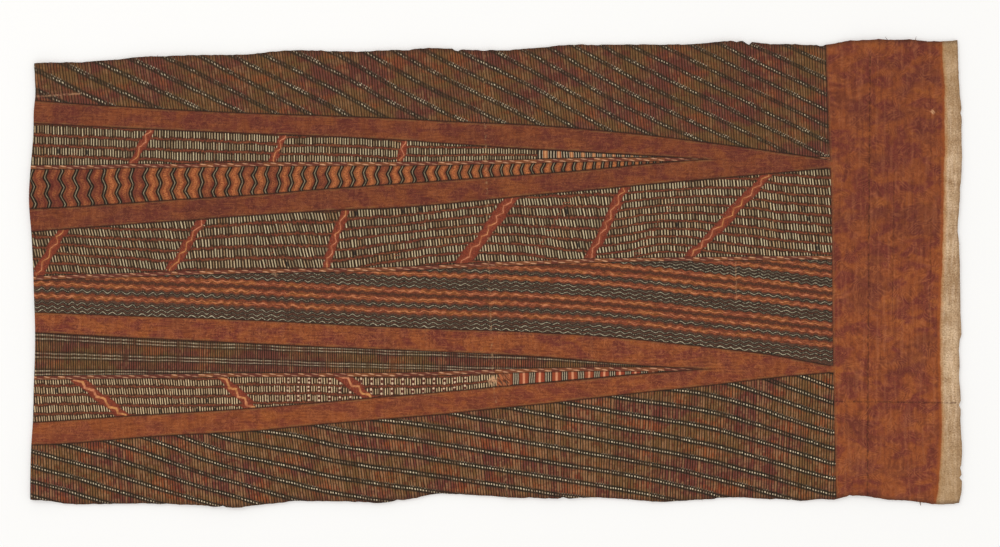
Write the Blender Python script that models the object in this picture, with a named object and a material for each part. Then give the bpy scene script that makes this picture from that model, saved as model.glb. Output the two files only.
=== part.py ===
"""A length of painted bark cloth, folded once across its middle and laid flat.

The cloth is one felted sheet of beaten bark. It starts at its undyed end, runs back to the fold as the upper
layer, turns round in a soft bight and runs forward again underneath as the lower layer, which lies on the
surface. The fold is at -X and the undyed end at +X. +Y points to the far long edge and +Z up. The origin is
under the middle of the folded cloth, on the surface.

Sizes are in millimetres up to the last step, which places the points in metres.
"""

import math

import bmesh
import bpy

MM = 0.001

# Driving dimensions
LENGTH = 1002.0  # from the mean fold line to the mean undyed end
WIDTH = 487.0  # between the mean lines of the two long edges
THICKNESS = 1.2
LAYER_GAP = 1.0  # the least air between the two layers
FOLD_RADIUS = 2.3  # of the middle of the sheet, round the bight
FOLD_BULGE_REACH = 42.0  # how far from the fold the upper layer settles onto the lower one
LOWER_LAYER_INSET = 2.5  # how far the lower layer's long edges lie inside the upper layer's
LOWER_LAYER_SHORT_OF_END = 9.0

# Steps along and across the sheet
LONGEST_STEP = 19.0
LOWER_LAYER_STEPS = 14
FOLD_STEPS = 8
ROWS_ACROSS = 18
EDGE_ROW_CROWDING = 0.35  # 0 spaces the rows evenly, and 1 crowds them most towards the long edges

# How far each long edge stands outside its mean line, at stations counted from the fold
LONG_EDGES = [
    {"station": 0, "far_edge": -15.1, "near_edge": 0.0},
    {"station": 40, "far_edge": -14.0, "near_edge": 3.2},
    {"station": 84, "far_edge": -11.9, "near_edge": 4.3},
    {"station": 127, "far_edge": -8.1, "near_edge": 3.2},
    {"station": 170, "far_edge": -6.5, "near_edge": 5.4},
    {"station": 213, "far_edge": -5.4, "near_edge": 7.6},
    {"station": 256, "far_edge": -3.2, "near_edge": 3.2},
    {"station": 300, "far_edge": -1.6, "near_edge": 0.0},
    {"station": 364, "far_edge": -2.2, "near_edge": 2.2},
    {"station": 429, "far_edge": 1.1, "near_edge": -6.5},
    {"station": 472, "far_edge": -1.1, "near_edge": -6.5},
    {"station": 516, "far_edge": 0.0, "near_edge": -2.2},
    {"station": 559, "far_edge": 3.2, "near_edge": -2.2},
    {"station": 602, "far_edge": 4.9, "near_edge": -4.3},
    {"station": 667, "far_edge": 5.4, "near_edge": 1.1},
    {"station": 710, "far_edge": 6.5, "near_edge": -1.1},
    {"station": 750, "far_edge": 9.2, "near_edge": -3.2},
    {"station": 797, "far_edge": 6.5, "near_edge": -1.1},
    {"station": 858, "far_edge": 3.8, "near_edge": 0.0},
    {"station": 883, "far_edge": 9.7, "near_edge": -4.3},
    {"station": 926, "far_edge": 10.8, "near_edge": 0.0},
    {"station": 969, "far_edge": 8.6, "near_edge": 4.0},
    {"station": 1002, "far_edge": 9.7, "near_edge": 2.4},
]

# How far the fold and the undyed end stand outside their mean lines, as shares of the way from the near long
# edge to the far one, and how much larger than usual the bight is there
SHORT_EDGES = [
    {"share": 0.00, "fold": 2.7, "undyed_end": -1.6, "bight": 0.3},
    {"share": 0.03, "fold": 2.7, "undyed_end": 1.6, "bight": 0.2},
    {"share": 0.12, "fold": 1.6, "undyed_end": 2.7, "bight": -0.1},
    {"share": 0.22, "fold": -0.5, "undyed_end": 0.2, "bight": -0.3},
    {"share": 0.32, "fold": -2.2, "undyed_end": -1.6, "bight": 0.0},
    {"share": 0.42, "fold": -1.8, "undyed_end": 0.5, "bight": 0.3},
    {"share": 0.52, "fold": -0.9, "undyed_end": -0.5, "bight": 0.1},
    {"share": 0.60, "fold": 1.6, "undyed_end": -2.2, "bight": 0.2},
    {"share": 0.68, "fold": 3.8, "undyed_end": -0.5, "bight": 0.6},
    {"share": 0.76, "fold": 1.6, "undyed_end": 1.6, "bight": 0.4},
    {"share": 0.88, "fold": -0.9, "undyed_end": 1.0, "bight": -0.2},
    {"share": 0.96, "fold": -1.6, "undyed_end": -1.6, "bight": 0.0},
    {"share": 1.00, "fold": -4.3, "undyed_end": -2.7, "bight": 0.1},
]

# Old fold lines that the sheet still remembers, as raised creases from the near long edge to the far one
CREASES = [
    {"near_station": 332, "far_station": 325, "near_lift": 0.5, "far_lift": 0.2},
    {"near_station": 516, "far_station": 490, "near_lift": 1.7, "far_lift": 1.3},
    {"near_station": 668, "far_station": 664, "near_lift": 0.9, "far_lift": 0.2},
    {"near_station": 899, "far_station": 897, "near_lift": 1.1, "far_lift": 1.4},
]
CREASE_HALF_WIDTH = 9.0

# Low swells in the upper layer: where each is highest, how far it reaches and how high it lifts the cloth
SWELLS = [
    {"station": 150, "share": 0.97, "reach_along": 70, "reach_across": 60, "lift": 2.2},
    {"station": 60, "share": 0.42, "reach_along": 60, "reach_across": 90, "lift": 0.8},
    {"station": 205, "share": 0.02, "reach_along": 55, "reach_across": 55, "lift": 2.4},
    {"station": 270, "share": 0.60, "reach_along": 90, "reach_across": 80, "lift": 0.9},
    {"station": 400, "share": 0.98, "reach_along": 65, "reach_across": 45, "lift": 1.3},
    {"station": 360, "share": 0.05, "reach_along": 40, "reach_across": 50, "lift": 1.2},
    {"station": 440, "share": 0.30, "reach_along": 80, "reach_across": 70, "lift": 0.7},
    {"station": 590, "share": 0.72, "reach_along": 85, "reach_across": 90, "lift": 1.0},
    {"station": 560, "share": 0.02, "reach_along": 50, "reach_across": 45, "lift": 1.4},
    {"station": 740, "share": 0.98, "reach_along": 55, "reach_across": 60, "lift": 2.4},
    {"station": 730, "share": 0.20, "reach_along": 80, "reach_across": 75, "lift": 0.8},
    {"station": 800, "share": 0.55, "reach_along": 70, "reach_across": 80, "lift": 0.9},
    {"station": 890, "share": 0.03, "reach_along": 45, "reach_across": 55, "lift": 1.9},
    {"station": 920, "share": 0.97, "reach_along": 50, "reach_across": 55, "lift": 2.0},
    {"station": 975, "share": 0.62, "reach_along": 45, "reach_across": 60, "lift": 1.3},
    {"station": 985, "share": 0.15, "reach_along": 40, "reach_across": 55, "lift": 1.5},
]

RUST_BROWN = (0.17, 0.062, 0.032, 1.0)
BARK_ROUGHNESS = 0.85


def slope_at(table, row, key, column):
    """The slope of a smooth curve through the table's rows, at one row."""
    before = table[max(row - 1, 0)]
    after = table[min(row + 1, len(table) - 1)]
    return (after[column] - before[column]) / (after[key] - before[key])


def read(table, key, place, column):
    """Reads one column of a table at any place, on a smooth curve through its rows."""
    place = min(max(place, table[0][key]), table[-1][key])
    row = max(i for i in range(len(table) - 1) if table[i][key] <= place)
    low, high = table[row], table[row + 1]
    span = high[key] - low[key]
    t = (place - low[key]) / span
    start_slope = slope_at(table, row, key, column) * span
    end_slope = slope_at(table, row + 1, key, column) * span
    return (
        low[column] * (2 * t**3 - 3 * t**2 + 1)
        + start_slope * (t**3 - 2 * t**2 + t)
        + high[column] * (3 * t**2 - 2 * t**3)
        + end_slope * (t**3 - t**2)
    )


def eased(t):
    """0 to 1 with a level start and end."""
    t = min(max(t, 0.0), 1.0)
    return t * t * (3 - 2 * t)


def crease_middle(crease):
    return (crease["near_station"] + crease["far_station"]) / 2


def slant(station):
    """How much further on a grid column is at the far edge than at the near one, so that columns follow creases."""
    knots = [(0.0, 0.0)]
    knots += [(crease_middle(c), c["far_station"] - c["near_station"]) for c in CREASES]
    knots += [(LENGTH, 0.0)]
    for (start, low), (end, high) in zip(knots, knots[1:]):
        if station <= end:
            return low + (high - low) * (station - start) / (end - start)
    return 0.0


def column_stations():
    """Stations of the upper layer's grid columns, from the undyed end to the fold, with each crease on a column."""
    marks = [0.0]
    for crease in CREASES:
        middle = crease_middle(crease)
        marks += [middle - CREASE_HALF_WIDTH, middle, middle + CREASE_HALF_WIDTH]
    marks.append(LENGTH)
    stations = []
    for start, end in zip(marks, marks[1:]):
        steps = math.ceil((end - start) / LONGEST_STEP)
        stations += [start + (end - start) * i / steps for i in range(steps)]
    return [LENGTH] + stations[::-1]


def row_share(row):
    """The share of the width at a grid row, with the rows closer together towards the long edges."""
    even = row / ROWS_ACROSS
    return even - EDGE_ROW_CROWDING * math.sin(2 * math.pi * even) / (2 * math.pi)


def along(station, share):
    """X of a point on the upper layer, with the fold and the undyed end as uneven as they are."""
    slanted = station + slant(station) * (share - 0.5)
    fold_offset = -read(SHORT_EDGES, "share", share, "fold")
    end_offset = read(SHORT_EDGES, "share", share, "undyed_end")
    way = slanted / LENGTH
    return slanted - LENGTH / 2 + fold_offset * (1 - way) + end_offset * way


def across(station, share, inset=0.0):
    """Y of a point at a station, between the two uneven long edges."""
    far = WIDTH / 2 + read(LONG_EDGES, "station", station, "far_edge") - inset
    near = -WIDTH / 2 - read(LONG_EDGES, "station", station, "near_edge") + inset
    return near + (far - near) * share


def crease_lift(station, share):
    lift = 0.0
    for crease in CREASES:
        distance = abs(station - crease_middle(crease))
        height = crease["near_lift"] + (crease["far_lift"] - crease["near_lift"]) * share
        lift += height * max(0.0, 1 - distance / CREASE_HALF_WIDTH)
    return lift


def swell_lift(station, share):
    lift = 0.0
    for swell in SWELLS:
        off_along = (station - swell["station"]) / swell["reach_along"]
        off_across = (share - swell["share"]) * WIDTH / swell["reach_across"]
        lift += swell["lift"] * math.exp(-(off_along**2) - off_across**2)
    return lift


def bight_radius(share):
    return FOLD_RADIUS + read(SHORT_EDGES, "share", share, "bight")


def upper_height(station, share):
    """Height of the middle of the sheet in the upper layer."""
    lying = THICKNESS + LAYER_GAP + THICKNESS / 2
    over_bight = THICKNESS / 2 + 2 * bight_radius(share)
    settled = eased(station / FOLD_BULGE_REACH)
    relief = crease_lift(station, share) + swell_lift(station, share)
    return over_bight + (lying + relief - over_bight) * settled


def upper_point(station, share):
    """A point on the upper layer, whose start at the fold stands one radius clear of the bight's outermost line."""
    x = along(station, share) + bight_radius(share) * (1 - station / LENGTH)
    return x, across(station, share), upper_height(station, share)


def fold_point(turn, share):
    """A point round the bight, where turn runs from 0 at the upper layer to 1 at the lower one."""
    radius = bight_radius(share)
    angle = math.pi * turn
    x = along(0.0, share) + radius - radius * math.sin(angle)
    z = THICKNESS / 2 + radius + radius * math.cos(angle)
    return x, across(0.0, share, LOWER_LAYER_INSET * 0.5 * turn), z


def lower_point(way, share):
    """A point on the lower layer, where way runs from 0 at the fold to 1 at its own end."""
    start = along(0.0, share) + bight_radius(share)
    end = along(LENGTH, share) - LOWER_LAYER_SHORT_OF_END
    inset = LOWER_LAYER_INSET * (0.5 + 0.5 * eased(4 * way))
    return start + (end - start) * way, across(LENGTH * way, share, inset), THICKNESS / 2


def sheet_columns():
    """One function for each grid column, from the upper layer's end round the fold to the lower layer's end."""
    columns = [lambda share, s=s: upper_point(s, share) for s in column_stations()]
    columns += [lambda share, t=i / FOLD_STEPS: fold_point(t, share) for i in range(1, FOLD_STEPS)]
    columns += [
        lambda share, w=i / LOWER_LAYER_STEPS: lower_point(w, share) for i in range(LOWER_LAYER_STEPS + 1)
    ]
    return columns


def folded_grid():
    """A flat grid, with each vertex carried to its place in the folded sheet."""
    columns = sheet_columns()
    bm = bmesh.new()
    bmesh.ops.create_grid(bm, x_segments=len(columns) - 1, y_segments=ROWS_ACROSS, size=0.5)
    for vertex in bm.verts:
        column = round((vertex.co.x + 0.5) * (len(columns) - 1))
        row = round((vertex.co.y + 0.5) * ROWS_ACROSS)
        vertex.co = columns[column](row_share(row))
    return bm


def centre_on_origin(bm):
    """Puts the middle of the sheet's box over the origin."""
    xs = [v.co.x for v in bm.verts]
    ys = [v.co.y for v in bm.verts]
    middle = ((min(xs) - THICKNESS / 2 + max(xs)) / 2, (min(ys) + max(ys)) / 2, 0.0)
    bmesh.ops.translate(bm, verts=bm.verts, vec=[-m for m in middle])


def bark_material():
    material = bpy.data.materials.new("painted_bark")
    material.use_nodes = True
    shader = material.node_tree.nodes["Principled BSDF"]
    shader.inputs["Base Color"].default_value = RUST_BROWN
    shader.inputs["Roughness"].default_value = BARK_ROUGHNESS
    shader.inputs["Metallic"].default_value = 0.0
    return material


def bark_cloth():
    bm = folded_grid()
    centre_on_origin(bm)
    bmesh.ops.scale(bm, verts=bm.verts, vec=(MM, MM, MM))
    mesh = bpy.data.meshes.new("bark_cloth")
    bm.to_mesh(mesh)
    bm.free()
    mesh.materials.append(bark_material())
    mesh.shade_smooth()
    cloth = bpy.data.objects.new("bark_cloth", mesh)
    bpy.context.scene.collection.objects.link(cloth)
    felt = cloth.modifiers.new("felt_thickness", "SOLIDIFY")
    felt.thickness = THICKNESS * MM
    felt.offset = 0.0
    felt.use_even_offset = True
    return cloth


for old in list(bpy.data.objects):
    bpy.data.objects.remove(old)
bark_cloth()
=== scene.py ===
# %% [markdown]
# # A painted bark cloth, folded once and laid flat
# The object is one length of beaten inner bark, dyed rust brown and painted with crossing bands, ruled
# lines, dashes, zigzags and cords. It is folded across its middle, so the render shows the upper half with
# its undyed end, the soft fold, and a little of the half that lies underneath. This lesson builds the sheet
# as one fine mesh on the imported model, and then paints it with nodes, a figure at a time.

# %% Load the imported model
import math
import random
from functools import partialmethod
from types import SimpleNamespace

import bmesh
import bpy
from mathutils import Matrix, Vector, noise


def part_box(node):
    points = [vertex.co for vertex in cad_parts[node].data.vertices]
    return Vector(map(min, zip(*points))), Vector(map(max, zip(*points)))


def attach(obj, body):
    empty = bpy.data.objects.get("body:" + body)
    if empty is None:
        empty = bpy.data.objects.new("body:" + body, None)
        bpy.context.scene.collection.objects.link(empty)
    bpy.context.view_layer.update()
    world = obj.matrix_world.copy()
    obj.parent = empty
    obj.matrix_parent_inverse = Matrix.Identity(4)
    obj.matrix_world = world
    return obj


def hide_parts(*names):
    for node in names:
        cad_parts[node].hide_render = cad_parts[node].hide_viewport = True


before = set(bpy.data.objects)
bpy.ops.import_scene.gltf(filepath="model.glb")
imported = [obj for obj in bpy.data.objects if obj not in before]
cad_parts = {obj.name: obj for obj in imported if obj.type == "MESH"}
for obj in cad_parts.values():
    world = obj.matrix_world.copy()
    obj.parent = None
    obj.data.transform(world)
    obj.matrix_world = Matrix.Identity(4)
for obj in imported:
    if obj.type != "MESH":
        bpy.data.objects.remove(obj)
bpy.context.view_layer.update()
cloth_low, cloth_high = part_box("bark_cloth")
MM = 0.001


def add_object(name, data):
    """Makes an object from its data and puts it in the scene."""
    added = bpy.data.objects.new(name, data)
    bpy.context.scene.collection.objects.link(added)
    return added


print("nodes", sorted(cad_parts), "box in mm", [round(v / MM, 1) for v in cloth_high - cloth_low])

# %% [markdown]
# ## The camera
# The cloth is seen from straight above with +Y up, so that its long side runs across the picture. A long
# lens from four metres keeps both layers at one scale, and the frame is 1.08 m wide, so a pixel is 1.08 mm
# of cloth.

# %% Camera
FRAME_WIDTH = 1.08
CAMERA_HEIGHT = 4.0
SENSOR = 36.0
CAMERA_X = 0.0038

camera_data = bpy.data.cameras.new("overhead_camera")
camera_data.sensor_width = SENSOR
camera_data.lens = SENSOR * CAMERA_HEIGHT / FRAME_WIDTH
camera = add_object("overhead_camera", camera_data)
camera.location = (CAMERA_X, 0.0, CAMERA_HEIGHT)
bpy.context.scene.camera = camera
bpy.context.scene.view_settings.view_transform = "Standard"
print("camera lens", round(camera_data.lens, 1))

# %% [markdown]
# ## Reading a table as a smooth curve
# The edges, the fold and the painted lines were all laid out by hand, so none of them is straight. Each one
# is a short table of places, and this reader joins the rows with a smooth curve, as a maker's eye does.


# %% Table reader
def rows_of(columns, *table):
    """A table: each row becomes a dictionary under the names of the columns."""
    return [dict(zip(columns.split(), row)) for row in table]


def tables_of(columns, **tables):
    """Several tables with the same columns, each under its own name."""
    return {name: rows_of(columns, *table) for name, table in tables.items()}


def read(table, place, column):
    """Reads one column at any place in the first one, on a smooth curve through the rows."""
    key = next(iter(table[0]))
    place = min(max(place, table[0][key]), table[-1][key])
    row = 0
    while row < len(table) - 2 and table[row + 1][key] <= place:
        row += 1

    def slope(i):
        before, after = table[max(i - 1, 0)], table[min(i + 1, len(table) - 1)]
        return (after[column] - before[column]) / (after[key] - before[key])

    low, high = table[row], table[row + 1]
    span = high[key] - low[key]
    t = (place - low[key]) / span
    return (
        low[column] * (2 * t**3 - 3 * t**2 + 1)
        + slope(row) * span * (t**3 - 2 * t**2 + t)
        + high[column] * (3 * t**2 - 2 * t**3)
        + slope(row + 1) * span * (t**3 - t**2)
    )


def eased(t):
    """0 to 1 with a level start and end."""
    t = min(max(t, 0.0), 1.0)
    return t * t * (3 - 2 * t)


# %% [markdown]
# ## The sheet's own shape
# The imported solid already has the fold, the creases and the outline. The sheet repeats its tables in
# millimetres, so the fine mesh lies exactly where the solid does. A station counts from the fold, and a
# share counts from the near long edge to the far one.

# %% Tables of the outline and the fold
LENGTH = 1002.0
WIDTH = 487.0
SOLID_THICKNESS = 1.2
LAYER_GAP = 1.0
FOLD_RADIUS = 2.3
FOLD_BULGE_REACH = 42.0
LOWER_LAYER_INSET = 2.5
LOWER_LAYER_SHORT_OF_END = 9.0

LONG_EDGES = rows_of(
    "station far_edge near_edge",
    (0, -15.1, 0.0), (40, -14.0, 3.2), (84, -11.9, 4.3), (127, -8.1, 3.2), (170, -6.5, 5.4),
    (213, -5.4, 7.6), (256, -3.2, 3.2), (300, -1.6, 0.0), (364, -2.2, 2.2), (429, 1.1, -6.5),
    (472, -1.1, -6.5), (516, 0.0, -2.2), (559, 3.2, -2.2), (602, 4.9, -4.3), (667, 5.4, 1.1),
    (710, 6.5, -1.1), (750, 9.2, -3.2), (797, 6.5, -1.1), (858, 3.8, 0.0), (883, 9.7, -4.3),
    (926, 10.8, 0.0), (969, 8.6, 4.0), (1002, 9.7, 2.4),
)
SHORT_EDGES = rows_of(
    "share fold undyed_end bight",
    (0.00, 2.7, -1.6, 0.3), (0.03, 2.7, 1.6, 0.2), (0.12, 1.6, 2.7, -0.1), (0.22, -0.5, 0.2, -0.3),
    (0.32, -2.2, -1.6, 0.0), (0.42, -1.8, 0.5, 0.3), (0.52, -0.9, -0.5, 0.1), (0.60, 1.6, -2.2, 0.2),
    (0.68, 3.8, -0.5, 0.6), (0.76, 1.6, 1.6, 0.4), (0.88, -0.9, 1.0, -0.2), (0.96, -1.6, -1.6, 0.0),
    (1.00, -4.3, -2.7, 0.1),
)
CREASES = rows_of(
    "near_station far_station near_lift far_lift",
    (332, 325, 0.5, 0.2), (516, 490, 1.7, 1.3), (668, 664, 0.9, 0.2), (899, 897, 1.1, 1.4),
)
CREASE_HALF_WIDTH = 9.0
SWELLS = rows_of(
    "station share reach_along reach_across lift",
    (150, 0.97, 70, 60, 2.2), (60, 0.42, 60, 90, 0.8), (205, 0.02, 55, 55, 2.4), (270, 0.60, 90, 80, 0.9),
    (400, 0.98, 65, 45, 1.3), (360, 0.05, 40, 50, 1.2), (440, 0.30, 80, 70, 0.7), (590, 0.72, 85, 90, 1.0),
    (560, 0.02, 50, 45, 1.4), (740, 0.98, 55, 60, 2.4), (730, 0.20, 80, 75, 0.8), (800, 0.55, 70, 80, 0.9),
    (890, 0.03, 45, 55, 1.9), (920, 0.97, 50, 55, 2.0), (975, 0.62, 45, 60, 1.3), (985, 0.15, 40, 55, 1.5),
)
print("outline tables", len(LONG_EDGES), "and", len(SHORT_EDGES), "rows")


# %% Places on the folded sheet
def crease_middle(crease):
    return (crease["near_station"] + crease["far_station"]) / 2


def slant(station):
    """How much further on a column is at the far edge than at the near one, as the creases are."""
    knots = [(0.0, 0.0)]
    knots += [(crease_middle(c), c["far_station"] - c["near_station"]) for c in CREASES]
    knots += [(LENGTH, 0.0)]
    for (start, low), (end, high) in zip(knots, knots[1:]):
        if station <= end:
            return low + (high - low) * (station - start) / (end - start)
    return 0.0


def along(station, share):
    slanted = station + slant(station) * (share - 0.5)
    fold_offset = -read(SHORT_EDGES, share, "fold")
    end_offset = read(SHORT_EDGES, share, "undyed_end")
    way = slanted / LENGTH
    return slanted - LENGTH / 2 + fold_offset * (1 - way) + end_offset * way


def across(station, share, inset=0.0):
    far = WIDTH / 2 + read(LONG_EDGES, station, "far_edge") - inset
    near = -WIDTH / 2 - read(LONG_EDGES, station, "near_edge") + inset
    return near + (far - near) * share


def relief(station, share):
    """Height of the old creases and the low swells."""
    lift = 0.0
    for crease in CREASES:
        distance = abs(station - crease_middle(crease))
        height = crease["near_lift"] + (crease["far_lift"] - crease["near_lift"]) * share
        lift += height * max(0.0, 1 - distance / CREASE_HALF_WIDTH)
    for swell in SWELLS:
        off_along = (station - swell["station"]) / swell["reach_along"]
        off_across = (share - swell["share"]) * WIDTH / swell["reach_across"]
        lift += swell["lift"] * math.exp(-(off_along**2) - off_across**2)
    return lift


def bight_radius(share):
    return FOLD_RADIUS + read(SHORT_EDGES, share, "bight")


# %% [markdown]
# ## Edges of beaten bark
# Bark cloth has no woven edge. Its felted fibres tear in small steps, so the long edges and the undyed end
# are nicked and slightly ragged, while the fold stays smooth. The nicks are moves of the outermost rows
# that fade over a few millimetres, so the mesh stays an even grid.

# %% Nicks and ragged edges
NICKS = tables_of(
    "middle depth half_width",
    far=[(459.6, 2.8, 3.4), (611, 1.2, 3.0), (760.4, 2.2, 3.2), (773.8, 4.8, 3.6), (853, 2.0, 4.0)],
    near=[(207, 1.4, 4.0), (396, 1.0, 6.0), (575, 1.6, 5.0), (742, 1.2, 4.0), (884, 1.6, 3.0)],
    end=[
        (-72, 2.6, 3.2), (-139, 3.2, 2.6), (-209, 2.4, 3.0), (-218, 3.0, 2.4), (92, 1.6, 4.0),
        (176, 1.4, 3.0),
    ],
)
RAGGED_REACH = 14.0
RAGGED_SEEDS = {"far": 1.5, "near": 4.5, "end": 8.5, "lower end": 12.5}


def peak(row, place):
    """1 on the middle of a nick or a fold, and 0 from its half width on."""
    return max(0.0, 1 - abs(place - row["middle"]) / row["half_width"])


def nick_depth(edge, place):
    return sum(nick["depth"] * peak(nick, place) for nick in NICKS[edge])


def raggedness(edge, place):
    """A torn edge's small steps, in millimetres."""
    seed = RAGGED_SEEDS[edge]
    coarse = noise.noise(Vector((place / 11.0, seed, 0.3)))
    fine = noise.noise(Vector((place / 3.7, seed, 7.9)))
    return 0.75 * coarse + 0.55 * fine


def fade_from_edge(distance):
    return max(0.0, 1 - distance / RAGGED_REACH) ** 2


# %% Trims along the edges
EDGE_TRIMS = tables_of(
    "place move",
    far=[
        (0, 1.0), (28, 0.9), (52, 0.3), (78, 0.8), (105, 1.6), (118, 1.5), (135, 0.2), (160, 0.2),
        (182, 0.9), (210, 0.0), (240, -0.5), (262, 1.4), (285, 1.2), (315, 0.7), (350, 0.2), (395, 0.2),
        (410, -0.9), (440, 1.3), (472, 1.2), (490, -0.2), (520, -1.1), (556, -0.9), (583, 0.8),
        (615, 0.4), (700, -0.3), (733, -1.3), (760, 0.6), (800, -0.3), (830, 1.1), (862, 1.4),
        (880, -0.2), (930, 0.2), (960, 1.5), (975, 0.2), (1000, 0.8),
    ],
    near=[
        (0, 1.4), (25, 1.4), (48, -0.3), (72, 0.8), (110, 1.0), (140, 0.5), (185, 1.3), (210, 0.6),
        (250, 0.2), (285, 1.0), (308, 0.0), (350, 1.1), (375, -0.2), (415, -0.3), (440, 1.2),
        (465, -0.6), (500, -0.6), (545, 1.3), (590, -0.6), (620, -0.4), (660, 0.6), (735, -0.5),
        (752, 0.8), (785, 0.9), (813, 1.3), (832, 0.0), (855, 1.9), (873, 0.0), (897, 2.3), (925, 1.0),
        (945, 2.1), (965, 1.8), (980, 0.2), (1000, -0.5),
    ],
    end=[
        (-250, -0.6), (-230, -1.3), (-206, -2.5), (-190, -1.8), (-167, -2.5), (-131, -0.6),
        (-112, -1.3), (-93, 0.0), (-80, -1.1), (-67, 1.1), (-54, 0.0), (-37, -1.4), (0, -1.3),
        (28, -0.8), (50, -1.7), (66, -0.8), (96, -0.2), (120, -0.6), (155, -1.5), (178, -1.1),
        (190, -2.4), (218, -2.4), (240, -1.5),
    ],
    fold=[
        (-240, 0.4), (-190, 0.2), (-160, 0.8), (-115, 0.1), (-57, 0.9), (-10, 0.0), (50, 0.9),
        (104, -0.5), (150, 0.9), (175, 0.4), (195, 2.1), (214, 0.2), (224, -2.4),
    ],
)


def trim(edge, place):
    """How far a torn edge departs from its cut line, towards +Y on a long edge and +X on a short one."""
    return read(EDGE_TRIMS[edge], place, "move")


# %% Fine wrinkles
def wrinkle(station, height):
    """The small puckers that beating and wear leave in the sheet, in millimetres."""
    broad = noise.noise(Vector((station / 46.0, height / 38.0, 1.7)))
    small = noise.noise(Vector((station / 15.0, height / 21.0, 5.1)))
    fine = noise.noise(Vector((station / 7.0, height / 9.0, 9.4)))
    return 0.30 * broad + 0.14 * small + 0.06 * fine


END_FOLDS = rows_of("middle lift half_width", (880, 0.35, 5.0), (915, 0.3, 4.0), (944, 0.25, 6.0))
PANEL_START, PANEL_FADE = 862, 24.0


def panel_puckers(station, height):
    """Sharper puckers in the plain dyed end, where nothing was ruled and the bark has crinkled."""
    within = eased((station - PANEL_START) / PANEL_FADE)
    bend = noise.noise(Vector((station / 19.0, height / 19.0, 2.2)))
    swirl = noise.noise(Vector((station / 10.0 + 0.8 * bend, height / 12.0, 3.3)))
    folds = sum(fold["lift"] * peak(fold, station) for fold in END_FOLDS)
    return within * (0.16 * (1 - abs(swirl) * 2.4) + folds)


print("nicks", sum(len(table) for table in NICKS.values()))

# %% [markdown]
# ## One grid for the whole sheet
# A flat bmesh grid is carried to its folded place column by column: the upper layer from the undyed end
# back to the fold, the half turn of the bight, and the lower layer forward again. Each vertex also keeps
# its place in the design, which is counted along the cloth from the fold. Underneath it counts away from
# the fold again, so the hidden half carries the same painting, mirrored.

# %% Columns and rows of the grid
SHEET_THICKNESS = 0.85
UPPER_STEPS = 300
FOLD_STEPS = 12
LOWER_STEPS = 70
ROWS = 104
ROW_CROWDING = 0.3
FOLD_X = -503.0


def row_share(row):
    even = row / ROWS
    return even - ROW_CROWDING * math.sin(2 * math.pi * even) / (2 * math.pi)


def upper_vertex(station, share):
    """Place in the folded sheet of a point of the upper layer."""
    radius = bight_radius(share)
    x = along(station, share) + radius * (1 - station / LENGTH)
    y = across(station, share)
    near_gap, far_gap = share * WIDTH, (1 - share) * WIDTH
    y -= (nick_depth("far", x - FOLD_X) + raggedness("far", station)) * fade_from_edge(far_gap)
    y += (nick_depth("near", x - FOLD_X) + raggedness("near", station)) * fade_from_edge(near_gap)
    x -= (nick_depth("end", y) + 0.5 * raggedness("end", y)) * fade_from_edge(LENGTH - station)
    settled = eased(station / FOLD_BULGE_REACH)
    over_bight = SOLID_THICKNESS / 2 + 2 * radius
    lying = SOLID_THICKNESS * 1.5 + LAYER_GAP + relief(station, share)
    z = over_bight + (lying - over_bight) * settled
    return x, y, z + settled * (wrinkle(station, y) + panel_puckers(station, y))


def fold_vertex(turn, share):
    """Place of a point round the bight, from the upper layer at 0 to the lower one at 1."""
    radius = bight_radius(share)
    lift = (SOLID_THICKNESS - SHEET_THICKNESS) / 2 * turn
    x = along(0.0, share) + radius - radius * math.sin(math.pi * turn)
    z = SOLID_THICKNESS / 2 + radius + radius * math.cos(math.pi * turn) - lift
    ragged = raggedness("far", 0.0) * fade_from_edge((1 - share) * WIDTH)
    ragged -= raggedness("near", 0.0) * fade_from_edge(share * WIDTH)
    return x, across(0.0, share, LOWER_LAYER_INSET * 0.5 * turn) - ragged, z


def lower_vertex(way, share):
    """Place of a point of the lower layer, from the fold at 0 to its own end at 1."""
    start = along(0.0, share) + bight_radius(share)
    end = along(LENGTH, share) - LOWER_LAYER_SHORT_OF_END
    inset = LOWER_LAYER_INSET * (0.5 + 0.5 * eased(4 * way))
    station = LENGTH * way
    y = across(station, share, inset)
    y -= raggedness("far", station) * fade_from_edge((1 - share) * WIDTH)
    y += raggedness("near", station) * fade_from_edge(share * WIDTH)
    x = start + (end - start) * way - raggedness("lower end", y) * fade_from_edge((1 - way) * LENGTH)
    return x, y, SHEET_THICKNESS / 2


columns = [("upper", LENGTH * (1 - i / UPPER_STEPS)) for i in range(UPPER_STEPS + 1)]
columns += [("fold", i / FOLD_STEPS) for i in range(1, FOLD_STEPS)]
columns += [("lower", i / LOWER_STEPS) for i in range(LOWER_STEPS + 1)]
print("grid", len(columns), "columns by", ROWS + 1, "rows")


# %% The folded grid, with each vertex's place in the design
def fold_station(share):
    """Where the sheet is furthest out at the fold, before the trims."""
    return along(0.0, share) + sheet_shift[0] - FOLD_X


def design_station(kind, value, share, x, y):
    """Millimetres along the design from the fold, for the point at x and y."""
    if kind != "fold":
        return x - FOLD_X
    radius = bight_radius(share)
    turned = min(value, 1 - value)
    return fold_station(share) + trim("fold", y) + radius - radius * math.pi * turned


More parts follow.
